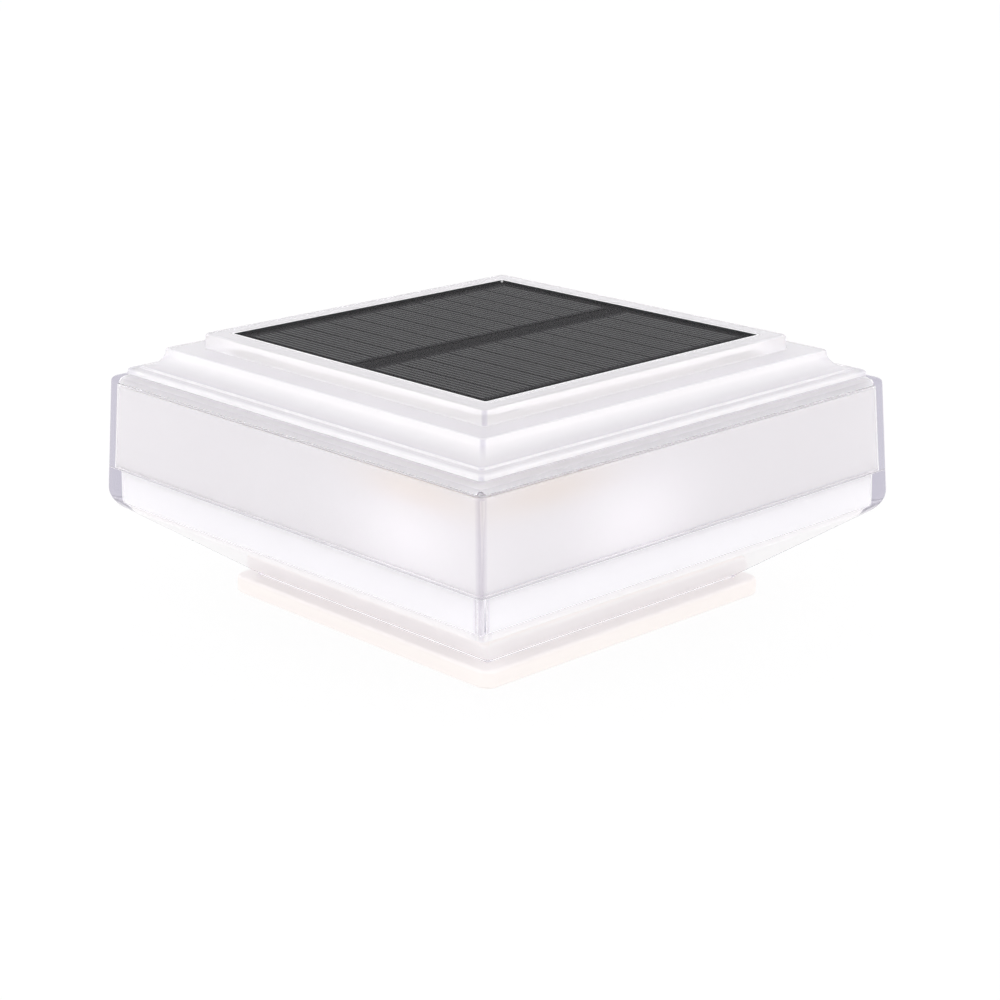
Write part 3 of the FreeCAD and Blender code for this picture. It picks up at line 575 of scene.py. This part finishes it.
def makeTray(values):
    foot = footOf("lower_tray")
    top = topOf("lower_tray")
    neck = values["neckHalf"]
    neckInner = neck - values["neckLand"]
    slopeFoot = foot + values["slopeStart"]
    cornerHalf, cornerHeight, cornerRound = values["lowerCorner"]
    slope = math.atan2(cornerHeight - slopeFoot, cornerHalf - neck)
    innerWall = clearBody["width"] / 2 - values["wall"]
    shelf = values["shelfHeight"]
    shelfHalf = innerWall - values["shelf"]
    shelfRound = values["shelfRound"]
    insideRound = values["insideRound"]

    def innerSlope(half):
        return slopeFoot + (half - neck) * math.tan(slope) + values["skin"] / math.cos(slope)

    line = [
        (neck, foot, values["neckRound"], clearSlot),
        (neck, slopeFoot, values["neckRound"], clearSlot),
        (cornerHalf, cornerHeight, cornerRound, clearSlot),
        (wallHalf(top), top, 0, clearSlot),
        (innerWall, top, 0, clearSlot),
        (innerWall, shelf, shelfRound, clearSlot),
        (shelfHalf, shelf, shelfRound, milkSlot),
        (shelfHalf, innerSlope(shelfHalf), insideRound, milkSlot),
        (neckInner, innerSlope(neckInner), insideRound, milkSlot),
        (neckInner, foot, 0, clearSlot),
    ]
    piece = squareShell("clearTray", line, clearFinishes, clearBody["corner"], closed=True, arcSteps=8)
    smooth(piece)
    placePiece(piece, "lamp", "clear_plastic", "lower_tray")


makeHousing(clearHousing)
makeTray(clearTray)
print("clear shells made")


# solar panel: resin face, cell fingers and the white bead that seals it in, whose white is also a painted
# highlight of the rim's inner edge

panel = {
    "faceDrop": 0.03,  # the face starts this far above the fingers
    "faceRound": 0.1,
    "faceCorner": 0.4,
    "skirt": 0.3,  # width of the dark seal round the face
    "boardGap": 0.02,
    "fingerCount": 5,  # on each strip
    "fingerWidth": 0.6,
    "fingerHeight": 0.015,
    "fingerShare": 0.93,  # of the strip's length
    "columns": 2,
    "strips": 11,
    "stripGap": 0.4,
    "centreGap": 7.2,
    "beadWidth": 0.4,
    "beadFoot": (0.15, 0.1),  # width, height above the bevel's foot
    "beadCorner": 0.7,
    "beadSunk": 0.12,  # below the rim
    "cellSkin": 0.01,  # depth of the cells' lighter top
    "boardSkin": 0.05,  # depth of the board's dark top
}


def fingerGroup():
    # rows of thin bars on each cell strip, repeated over the panel
    tree = bpy.data.node_groups.new("cellFingers", "GeometryNodeTree")
    tree.is_modifier = True
    for label, kind in (
        ("Bar Size", "Vector"), ("Bars", "Int"), ("Bar Pitch", "Float"), ("Columns", "Int"),
        ("Rows", "Int"), ("Column Pitch", "Float"), ("Row Pitch", "Float"), ("Height", "Float"),
        ("Material", "Material"),
    ):
        tree.interface.new_socket(label, in_out="INPUT", socket_type=f"NodeSocket{kind}")
    tree.interface.new_socket("Geometry", in_out="OUTPUT", socket_type="NodeSocketGeometry")
    given = addNode(tree, "NodeGroupInput", (-1300, 0))
    result = addNode(tree, "NodeGroupOutput", (1100, 0))
    bar = addNode(tree, "GeometryNodeMeshCube", (-900, 200))
    places = addNode(tree, "GeometryNodeMeshGrid", (-700, -100))
    places.inputs["Size X"].default_value = 0.0
    places.inputs["Vertices X"].default_value = 1
    strip = addNode(tree, "GeometryNodeInstanceOnPoints", (-400, 100))
    field = addNode(tree, "GeometryNodeMeshGrid", (-400, -400))
    whole = addNode(tree, "GeometryNodeInstanceOnPoints", (-100, 0))
    lift = addNode(tree, "ShaderNodeCombineXYZ", (-100, -300))
    move = addNode(tree, "GeometryNodeTransform", (200, 0))
    realize = addNode(tree, "GeometryNodeRealizeInstances", (500, 0))
    paint = addNode(tree, "GeometryNodeSetMaterial", (800, 0))
    link = tree.links.new
    for count, pitch, grid, axis, level in (
        ("Bars", "Bar Pitch", places, "Y", -100),
        ("Columns", "Column Pitch", field, "X", -400),
        ("Rows", "Row Pitch", field, "Y", -600),
    ):
        gaps = addNode(tree, "ShaderNodeMath", (-1100, level), operation="SUBTRACT")
        gaps.inputs[1].default_value = 1.0
        span = addNode(tree, "ShaderNodeMath", (-900, level), operation="MULTIPLY")
        link(given.outputs[count], gaps.inputs[0])
        link(gaps.outputs["Value"], span.inputs[0])
        link(given.outputs[pitch], span.inputs[1])
        link(span.outputs["Value"], grid.inputs["Size " + axis])
        link(given.outputs[count], grid.inputs["Vertices " + axis])
    link(given.outputs["Bar Size"], bar.inputs["Size"])
    link(places.outputs["Mesh"], strip.inputs["Points"])
    link(bar.outputs["Mesh"], strip.inputs["Instance"])
    link(field.outputs["Mesh"], whole.inputs["Points"])
    link(strip.outputs["Instances"], whole.inputs["Instance"])
    link(given.outputs["Height"], lift.inputs["Z"])
    link(whole.outputs["Instances"], move.inputs["Geometry"])
    link(lift.outputs["Vector"], move.inputs["Translation"])
    link(move.outputs["Geometry"], realize.inputs["Geometry"])
    link(realize.outputs["Geometry"], paint.inputs["Geometry"])
    link(given.outputs["Material"], paint.inputs["Material"])
    link(paint.outputs["Geometry"], result.inputs["Geometry"])
    return tree


def setInputs(modifier, values):
    # sets a Geometry Nodes modifier's inputs by their labels
    for item in modifier.node_group.interface.items_tree:
        if item.in_out == "INPUT":
            modifier[item.identifier] = values[item.name]


def makeFingers(values, material):
    cellsLow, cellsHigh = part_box("solar_cells")
    wide = (cellsHigh.x - cellsLow.x) / mm
    deep = (cellsHigh.y - cellsLow.y) / mm
    stripLength = (wide - values["centreGap"]) / values["columns"]
    rowPitch = (deep + values["stripGap"]) / values["strips"]
    barLength = stripLength * values["fingerShare"]
    barSize = Vector((barLength, values["fingerWidth"], values["fingerHeight"]))
    piece = newPiece("panelFingers", [], [])
    rows = piece.modifiers.new("rows", "NODES")
    rows.node_group = fingerGroup()
    setInputs(rows, {
        "Bar Size": barSize * mm,
        "Bars": values["fingerCount"],
        "Bar Pitch": (rowPitch - values["stripGap"]) / values["fingerCount"] * mm,
        "Columns": values["columns"],
        "Rows": values["strips"],
        "Column Pitch": (stripLength + values["centreGap"]) * mm,
        "Row Pitch": rowPitch * mm,
        "Height": cellsHigh.z + barSize.z / 2 * mm,
        "Material": material,
    })
    bake(piece)
    placePiece(piece, "lamp", "tinned_copper")


def makeFace(values, materials):
    half = halfWidth("panel_cover")
    top = topOf("panel_cover")
    foot = topOf("solar_cells") + values["fingerHeight"] + values["faceDrop"]
    seat = topOf("panel_board") + values["boardGap"]
    skirt = half - values["skirt"]
    line = [
        (half / 2, foot, 0, 0),
        (skirt, foot, 0, 1),
        (skirt, seat, 0, 1),
        (half, seat, 0, 1),
        (half, top, values["faceRound"], 0),
        (half / 2, top, 0, 0),
    ]
    piece = squareShell("panelFace", line, materials, values["faceCorner"], closed=False, arcSteps=4)
    smooth(piece)
    placePiece(piece, "lamp", "clear_resin", "panel_cover")


def makeBead(values, material):
    footWidth, footLift = values["beadFoot"]
    inner = halfWidth("panel_cover") + values["boardGap"]
    outer = inner + values["beadWidth"]
    top = topOf("clear_housing") - values["beadSunk"]
    foot = top - clearHousing["panelEdge"][1] + footLift
    line = [(inner, foot, 0, 0), (inner + footWidth, foot, 0, 0), (outer, top, 0, 0), (inner, top, 0, 0)]
    piece = squareShell("panelHighlightBead", line, (material,), values["beadCorner"], closed=True)
    smooth(piece)
    placePiece(piece, "lamp", "seal_silicone")


resin = {
    "color": (0.05, 0.05, 0.055),
    "roughness": 0.3,
    "specular": 0.08,
    "alpha": 0.08,
    "grainSize": 2500.0,
    "waveSize": 60.0,
    "grain": 0.7,
    "bump": 0.04,
    "bumpDepth": 0.0001,
}


def faceMaterial(values):
    # clear resin with a fine anti-glare grain, poured on the cells
    material = newMaterial("clearResin")
    tree = material.node_tree
    _, normal = addMould(tree, values["grainSize"], values["waveSize"], values["grain"],
                         values["bump"], values["bumpDepth"])
    gloss = addNode(tree, "ShaderNodeBsdfPrincipled", (0, 0))
    gloss.inputs["Base Color"].default_value = (*values["color"], 1)
    gloss.inputs["Roughness"].default_value = values["roughness"]
    gloss.inputs["Specular IOR Level"].default_value = values["specular"]
    gloss.inputs["Alpha"].default_value = values["alpha"]
    result = addNode(tree, "ShaderNodeOutputMaterial", (300, 0))
    tree.links.new(normal, gloss.inputs["Normal"])
    tree.links.new(gloss.outputs["BSDF"], result.inputs["Surface"])
    return material


fingerGrey = plasticMaterial("fingerGrey", (0.14, 0.14, 0.143), (0.16, 0.16, 0.163), 0.6,
                             grainSize=3000.0, waveSize=700.0, strength=0.05, specular=0.0)
sealDark = plasticMaterial("sealDark", (0.03, 0.03, 0.032), (0.04, 0.04, 0.042), 0.6, specular=0.0)
# the bead's white is a painted highlight of the rim's inner edge
rimHighlightWhite = plasticMaterial("rimHighlightWhite", (0.93, 0.93, 0.94), (0.97, 0.97, 0.98), 0.5)
makeFingers(panel, fingerGrey)
makeFace(panel, (faceMaterial(resin), sealDark))
makeBead(panel, rimHighlightWhite)
print("solar panel dressed")


# milky liner, with painted glows and painted warm light standing for the lamps behind it

liner = {
    "low": (0.955, 0.93, 0.94),
    "high": (0.98, 0.96, 0.97),
    "roughness": 0.55,
    "grainSize": 700.0,
    "waveSize": 14.0,
    "bump": 0.15,
    "coolPaintedGlow": (0.145, 0.14, 0.15),
    "coolPlaces": ((50.9, -77.0, 47.0), (77.0, -24.0, 46.0), (-50.9, 77.0, 47.0), (-77.0, 24.0, 46.0)),
    "coolReach": (22.0, 22.0, 12.0),
    "warmPaintedLight": (1.0, 0.945, 0.88),
    "warmPlaces": ((52.0, -78.0, 60.0), (78.0, -52.0, 60.0), (-52.0, 78.0, 60.0), (-78.0, 52.0, 60.0)),
    "warmReach": (20.0, 20.0, 5.0),
}


def glowMask(tree, places, reach):
    # soft painted glows added up
    total = None
    for row, centre in enumerate(places):
        glow = addNode(tree, "ShaderNodeGroup", (-1300, 300 - 150 * row), node_tree=softGlow)
        glow.inputs["Centre"].default_value = Vector(centre) * mm
        glow.inputs["Reach"].default_value = Vector(reach) * mm
        if total is None:
            total = glow.outputs["Glow"]
            continue
        both = addNode(tree, "ShaderNodeMath", (-1100, 300 - 150 * row), operation="ADD")
        tree.links.new(total, both.inputs[0])
        tree.links.new(glow.outputs["Glow"], both.inputs[1])
        total = both.outputs["Value"]
    return total


def linerMaterial(values):
    material = plasticMaterial("milkyLiner", values["low"], values["high"], values["roughness"],
                               values["grainSize"], values["waveSize"], strength=values["bump"])
    tree = material.node_tree
    shader = tree.nodes["Principled BSDF"]
    # painted warm light: the base colour is warmed near the top, standing for the warm lamps seen through it
    tintBase(material, glowMask(tree, values["warmPlaces"], values["warmReach"]), values["warmPaintedLight"])
    # painted glow: soft cool spots of light where the lamps shine through
    cool = glowMask(tree, values["coolPlaces"], values["coolReach"])
    light = addBlend(tree, cool, (0, 0, 0), values["coolPaintedGlow"], (-170, -300))
    shader.inputs["Emission Strength"].default_value = 1.0
    tree.links.new(light, shader.inputs["Emission Color"])
    return material


dress(nodes["frosted_liner"], linerMaterial(liner))


# finishes of the other pieces

def paintSideShade(material, tint):
    # painted shade: takes the sides of a piece down a tone from its level faces
    tree = material.node_tree
    facing = addNode(tree, "ShaderNodeGroup", (-700, 400), node_tree=facingMask)
    tintBase(material, addRange(tree, facing.outputs["Level"], 1.0, 0.0, (-500, 400)), tint)


metal = {
    "scratch": (60.0, 60.0, 900.0),  # close together along the last axis, long across it
    "scratchSize": 10.0,
    "scratchDetail": 3.0,
    "shineDrift": 0.3,
    "bump": 0.2,
    "bumpDepth": 0.00005,
}


def metalMaterial(name, low, high, roughness):
    # metal with fine scratches
    material = newMaterial(name)
    tree = material.node_tree
    where = addNode(tree, "ShaderNodeTexCoord", (-1100, 0))
    stretch = addNode(tree, "ShaderNodeMapping", (-900, 0))
    stretch.inputs["Scale"].default_value = metal["scratch"]
    lines = addNode(tree, "ShaderNodeTexNoise", (-700, 0))
    lines.inputs["Scale"].default_value = metal["scratchSize"]
    lines.inputs["Detail"].default_value = metal["scratchDetail"]
    marks = lines.outputs["Fac"]
    tree.links.new(where.outputs["Object"], stretch.inputs["Vector"])
    tree.links.new(stretch.outputs["Vector"], lines.inputs["Vector"])
    drift = roughness * metal["shineDrift"]
    shine = addRange(tree, marks, roughness - drift, roughness + drift, (-400, -50))
    color = addBlend(tree, marks, low, high, (-400, 150))
    normal = addBump(tree, marks, metal["bump"], metal["bumpDepth"], (-400, -300))
    shader = addSurface(tree, color, normal, {"Metallic": 1.0})
    tree.links.new(shine, shader.inputs["Roughness"])
    return material


board = {
    "trackPitch": 0.16,
    "trackEdge": (0.10, 0.12),  # where in the pitch a track starts
    "roughness": 0.32,
    "bump": 0.3,
    "bumpDepth": 0.00005,
}


def boardMaterial(name, mask, track, size):
    # solder mask over copper tracks that stand a little proud
    material = newMaterial(name)
    tree = material.node_tree
    where = addNode(tree, "ShaderNodeTexCoord", (-1100, 0))
    fields = addNode(tree, "ShaderNodeTexVoronoi", (-900, 0), distance="CHEBYCHEV", feature="F1")
    fields.inputs["Scale"].default_value = size
    tracks = addNode(tree, "ShaderNodeMath", (-700, 0), operation="PINGPONG")
    tracks.inputs[1].default_value = board["trackPitch"]
    edge = addNode(tree, "ShaderNodeMapRange", (-500, 0))
    edge.inputs["From Min"].default_value = board["trackEdge"][0]
    edge.inputs["From Max"].default_value = board["trackEdge"][1]
    tree.links.new(where.outputs["Object"], fields.inputs["Vector"])
    tree.links.new(fields.outputs["Distance"], tracks.inputs[0])
    tree.links.new(tracks.outputs["Value"], edge.inputs["Value"])
    lines = edge.outputs["Result"]
    color = addBlend(tree, lines, mask, track, (-300, 150))
    normal = addBump(tree, lines, board["bump"], board["bumpDepth"], (-300, -200))
    addSurface(tree, color, normal, {"Roughness": board["roughness"]})
    return material


pair = {
    "grainSize": 1500.0,
    "waveSize": 300.0,
    "grain": 0.5,
    "bumpDepth": 0.0001,
}


def pairMaterial(name, first, second, axis, place, roughness=0.35, strength=0.2, specular=0.5):
    # two colours that meet at a place along one axis, as on the two wires of a pair
    material = newMaterial(name)
    tree = material.node_tree
    where = addNode(tree, "ShaderNodeTexCoord", (-1100, 0))
    axes = addNode(tree, "ShaderNodeSeparateXYZ", (-900, 0))
    side = addNode(tree, "ShaderNodeMath", (-700, 0), operation="GREATER_THAN")
    side.inputs[1].default_value = place * mm
    tree.links.new(where.outputs["Object"], axes.inputs["Vector"])
    tree.links.new(axes.outputs[axis], side.inputs[0])
    color = addBlend(tree, side.outputs["Value"], first, second, (-300, 150))
    _, normal = addMould(tree, pair["grainSize"], pair["waveSize"], pair["grain"], strength,
                         pair["bumpDepth"])
    addSurface(tree, color, normal, {"Roughness": roughness, "Specular IOR Level": specular})
    return material


def lampMaterial(name, color, strength):
    # phosphor under clear resin, lit
    phosphor = (0.95, 0.9, 0.75)
    material = plasticMaterial(name, color, phosphor, 0.2, grainSize=4000.0, waveSize=600.0, coat=0.6)
    setGlow(material, color, strength)
    return material


baseWhite = plasticMaterial("baseWhite", (0.95, 0.91, 0.905), (0.97, 0.94, 0.935), 0.42)
# painted shade on the base's sides
paintSideShade(baseWhite, (0.88, 0.86, 0.84))
setGlow(baseWhite, (1.0, 0.97, 0.95), 0.05)  # painted glow that lifts the base's shaded faces
innerWhite = plasticMaterial("innerWhite", (0.95, 0.945, 0.955), (0.975, 0.97, 0.98), 0.45)
setGlow(innerWhite, (1.0, 0.97, 0.98), 0.13)  # painted glow, standing for the lamps inside shining through it
sealGrey = plasticMaterial("sealGrey", (0.52, 0.50, 0.55), (0.58, 0.56, 0.61), 0.5)
rubber = plasticMaterial("rubberBlack", (0.02, 0.02, 0.02), (0.035, 0.035, 0.035), 0.8)
foam = plasticMaterial("foamGrey", (0.03, 0.03, 0.033), (0.07, 0.07, 0.075), 0.9,
                       grainSize=2200.0, waveSize=500.0, grain=0.9, strength=0.9)
tape = plasticMaterial("tapeWhite", (0.82, 0.82, 0.80), (0.88, 0.88, 0.86), 0.7)
cells = pairMaterial("cellSilicon", (0.018, 0.017, 0.019), (0.050, 0.049, 0.052), "Z",
                     topOf("solar_cells") - panel["cellSkin"], roughness=0.6, strength=0.03, specular=0.0)
backing = pairMaterial("panelBacking", (0.82, 0.82, 0.80), (0.032, 0.031, 0.033), "Z",
                       topOf("panel_board") - panel["boardSkin"], roughness=0.6, strength=0.05, specular=0.0)
blackPlastic = plasticMaterial("plasticBlack", (0.02, 0.02, 0.022), (0.035, 0.035, 0.038), 0.4)
ferrite = plasticMaterial("ferriteGrey", (0.05, 0.045, 0.045), (0.09, 0.085, 0.085), 0.75,
                          grainSize=1800.0, waveSize=400.0, strength=0.6)
socket = plasticMaterial("socketNylon", (0.80, 0.78, 0.70), (0.86, 0.84, 0.77), 0.4)
sleeve = plasticMaterial("cellSleeve", (0.03, 0.10, 0.28), (0.05, 0.14, 0.36), 0.25, coat=0.4)
steel = metalMaterial("springSteel", (0.62, 0.62, 0.63), (0.78, 0.78, 0.78), 0.25)
zinc = metalMaterial("zincPlate", (0.60, 0.61, 0.64), (0.74, 0.75, 0.77), 0.3)
tinned = metalMaterial("tinnedCopper", (0.70, 0.68, 0.65), (0.82, 0.80, 0.77), 0.35)
canMetal = metalMaterial("capacitorCan", (0.55, 0.56, 0.60), (0.70, 0.71, 0.75), 0.35)
greenBoard = boardMaterial("boardGreen", (0.012, 0.075, 0.03), (0.03, 0.16, 0.06), 260.0)
whiteBoard = boardMaterial("boardWhite", (0.80, 0.80, 0.80), (0.72, 0.72, 0.73), 200.0)
coolLamp = lampMaterial("coolLamp", (0.95, 0.95, 0.85), 3.0)
warmLamp = lampMaterial("warmLamp", (0.98, 0.72, 0.36), 3.0)
wireRed = (0.42, 0.02, 0.018)
wireBlack = (0.018, 0.018, 0.02)

finishes = {
    baseWhite: ("base_collar",),
    innerWhite: ("deck", "battery_cradle", "battery_door"),
    sealGrey: ("seam_seal",),
    rubber: ("door_gasket",),
    foam: ("door_pad",),
    tape: ("panel_tape",),
    cells: ("solar_cells",),
    backing: ("panel_board",),
    blackPlastic: ("driver_chip", "switch_body", "switch_knob"),
    ferrite: ("inductor",),
    socket: ("wire_sockets",),
    sleeve: ("battery_cell",),
    steel: ("contact_spring", "contact_plates", "door_pin"),
    zinc: ("housing_screws", "board_screws", "cradle_screws"),
    tinned: ("panel_tabs",),
    canMetal: ("capacitor",),
    greenBoard: ("control_board",),
    whiteBoard: ("led_board_south", "led_board_east", "led_board_north", "led_board_west",
                 "centre_led_board"),
    coolLamp: ("cool_leds",),
    warmLamp: ("warm_leds",),
    pairMaterial("panelWirePair", wireBlack, wireRed, "X", 0.0): ("panel_wires",),
    pairMaterial("batteryWirePair", wireBlack, wireRed, "X", 0.0): ("battery_wires",),
    pairMaterial("lampWirePair", wireBlack, wireRed, "Y", 0.0): ("led_wires",),
}
for finish, names in finishes.items():
    for name in names:
        dress(nodes[name], finish)
print("finishes given")


# white set

studio = {
    "floorShadow": 0.1,  # how much of the shadow shows
    "floorBounce": 0.7,  # share of the floor's light that no shadow takes away
    "floorWhite": 0.97,
    "floorHalf": 12000.0,  # millimetres
    "floorDrop": 0.2,  # millimetres below the object's foot
    "worldSoft": 1.1,  # strength of the light from all round
    "key": ((-0.5, -1.5, 0.6), 1.3, 4.6),  # place and size in metres, power in watts
    "fill": ((1.5, 0.2, 0.6), 1.2, 3.8),
    "back": ((-1.1, 1.1, 0.6), 1.3, 2.4),
    "aim": (0, 0, 0.04),
}


def seenDirectly(tree):
    # 1 for camera rays and for what mirrors and clear parts show
    path = addNode(tree, "ShaderNodeLightPath", (-800, 0))
    first = addNode(tree, "ShaderNodeMath", (-550, 100), operation="MAXIMUM")
    second = addNode(tree, "ShaderNodeMath", (-350, 50), operation="MAXIMUM")
    tree.links.new(path.outputs["Is Camera Ray"], first.inputs[0])
    tree.links.new(path.outputs["Is Glossy Ray"], first.inputs[1])
    tree.links.new(first.outputs["Value"], second.inputs[0])
    tree.links.new(path.outputs["Is Transmission Ray"], second.inputs[1])
    return second.outputs["Value"]


def worldWhite(values):
    world = bpy.data.worlds.new("softWorld")
    scene.world = world
    world.use_nodes = True
    tree = world.node_tree
    tree.nodes.clear()
    soft = addNode(tree, "ShaderNodeBackground", (-150, 100))
    soft.inputs["Color"].default_value = (1, 1, 1, 1)
    soft.inputs["Strength"].default_value = values["worldSoft"]
    seen = addNode(tree, "ShaderNodeBackground", (-150, -100))
    seen.inputs["Color"].default_value = (1, 1, 1, 1)
    seen.inputs["Strength"].default_value = 1.0
    mix = addNode(tree, "ShaderNodeMixShader", (100, 0))
    result = addNode(tree, "ShaderNodeOutputWorld", (300, 0))
    tree.links.new(seenDirectly(tree), mix.inputs["Fac"])
    tree.links.new(soft.outputs["Background"], mix.inputs[1])
    tree.links.new(seen.outputs["Background"], mix.inputs[2])
    tree.links.new(mix.outputs["Shader"], result.inputs["Surface"])


def floorMaterial(values):
    material = newMaterial("floorWhite")
    tree = material.node_tree
    share = addRange(tree, seenDirectly(tree), values["floorBounce"], 1.0 - values["floorShadow"],
                     (-150, 50))
    plain = addNode(tree, "ShaderNodeBsdfDiffuse", (-150, -100))
    plain.inputs["Color"].default_value = (*(values["floorWhite"],) * 3, 1)
    glow = addNode(tree, "ShaderNodeEmission", (-150, -250))
    glow.inputs["Color"].default_value = (1, 1, 1, 1)
    glow.inputs["Strength"].default_value = 1.0
    mix = addNode(tree, "ShaderNodeMixShader", (100, 0))
    result = addNode(tree, "ShaderNodeOutputMaterial", (300, 0))
    tree.links.new(share, mix.inputs["Fac"])
    tree.links.new(plain.outputs["BSDF"], mix.inputs[1])
    tree.links.new(glow.outputs["Emission"], mix.inputs[2])
    tree.links.new(mix.outputs["Shader"], result.inputs["Surface"])
    return material


def makeFloor(values):
    half = values["floorHalf"]
    floor = newPiece("floor", [(-half, -half, 0), (half, -half, 0), (half, half, 0), (-half, half, 0)],
                     [(0, 1, 2, 3)])
    floor.location.z = -values["floorDrop"] * mm
    dress(floor, floorMaterial(values))


def softLamp(name, values):
    place, size, power = values
    lamp = bpy.data.lights.new(name, "AREA")
    lamp.shape = "DISK"
    lamp.size = size
    lamp.energy = power
    holder = bpy.data.objects.new(name, lamp)
    holder.location = place
    aim = Vector(studio["aim"]) - Vector(place)
    holder.rotation_euler = aim.to_track_quat("-Z", "Y").to_euler()
    scene.collection.objects.link(holder)
    return holder


worldWhite(studio)
makeFloor(studio)
softLamp("keyLamp", studio["key"])
softLamp("fillLamp", studio["fill"])
backLamp = softLamp("backLamp", studio["back"])
backLamp.visible_glossy = False  # keeps it out of the panel's reflections


# camera

view = {
    "panelHalf": 52.7 * mm,  # half of the solar panel's side, the unit of the three lengths below
    "distance": 12.116,
    "across": -0.02886,
    "upward": 0.89363,
    "focalPixels": 2250.93,
    "imagePixels": 1000.0,
    "elevation": 17.442,  # degrees, as the next two
    "azimuth": 46.723,
    "roll": -0.2616,
}


def makeCamera(values, panelTop):
    data = bpy.data.cameras.new("camera")
    data.sensor_width = 36.0
    data.lens = values["focalPixels"] / values["imagePixels"] * data.sensor_width
    turn, lift = math.radians(values["azimuth"]), math.radians(values["elevation"])
    back = Vector((math.sin(turn) * math.cos(lift), -math.cos(turn) * math.cos(lift), math.sin(lift)))
    right = Vector((math.cos(turn), math.sin(turn), 0))
    up = back.cross(right)
    roll = math.radians(values["roll"])
    side = right * math.cos(roll) + up * math.sin(roll)
    top = up * math.cos(roll) - right * math.sin(roll)
    place = back * values["distance"] - side * values["across"] - top * values["upward"]
    place = place * values["panelHalf"] + Vector((0, 0, panelTop))
    axes = Matrix((side, top, back)).transposed()
    camera = bpy.data.objects.new("camera", data)
    camera.matrix_world = Matrix.Translation(place) @ axes.to_4x4()
    scene.collection.objects.link(camera)
    scene.camera = camera


makeCamera(view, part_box("panel_cover")[1].z)
print("camera and lamps placed")
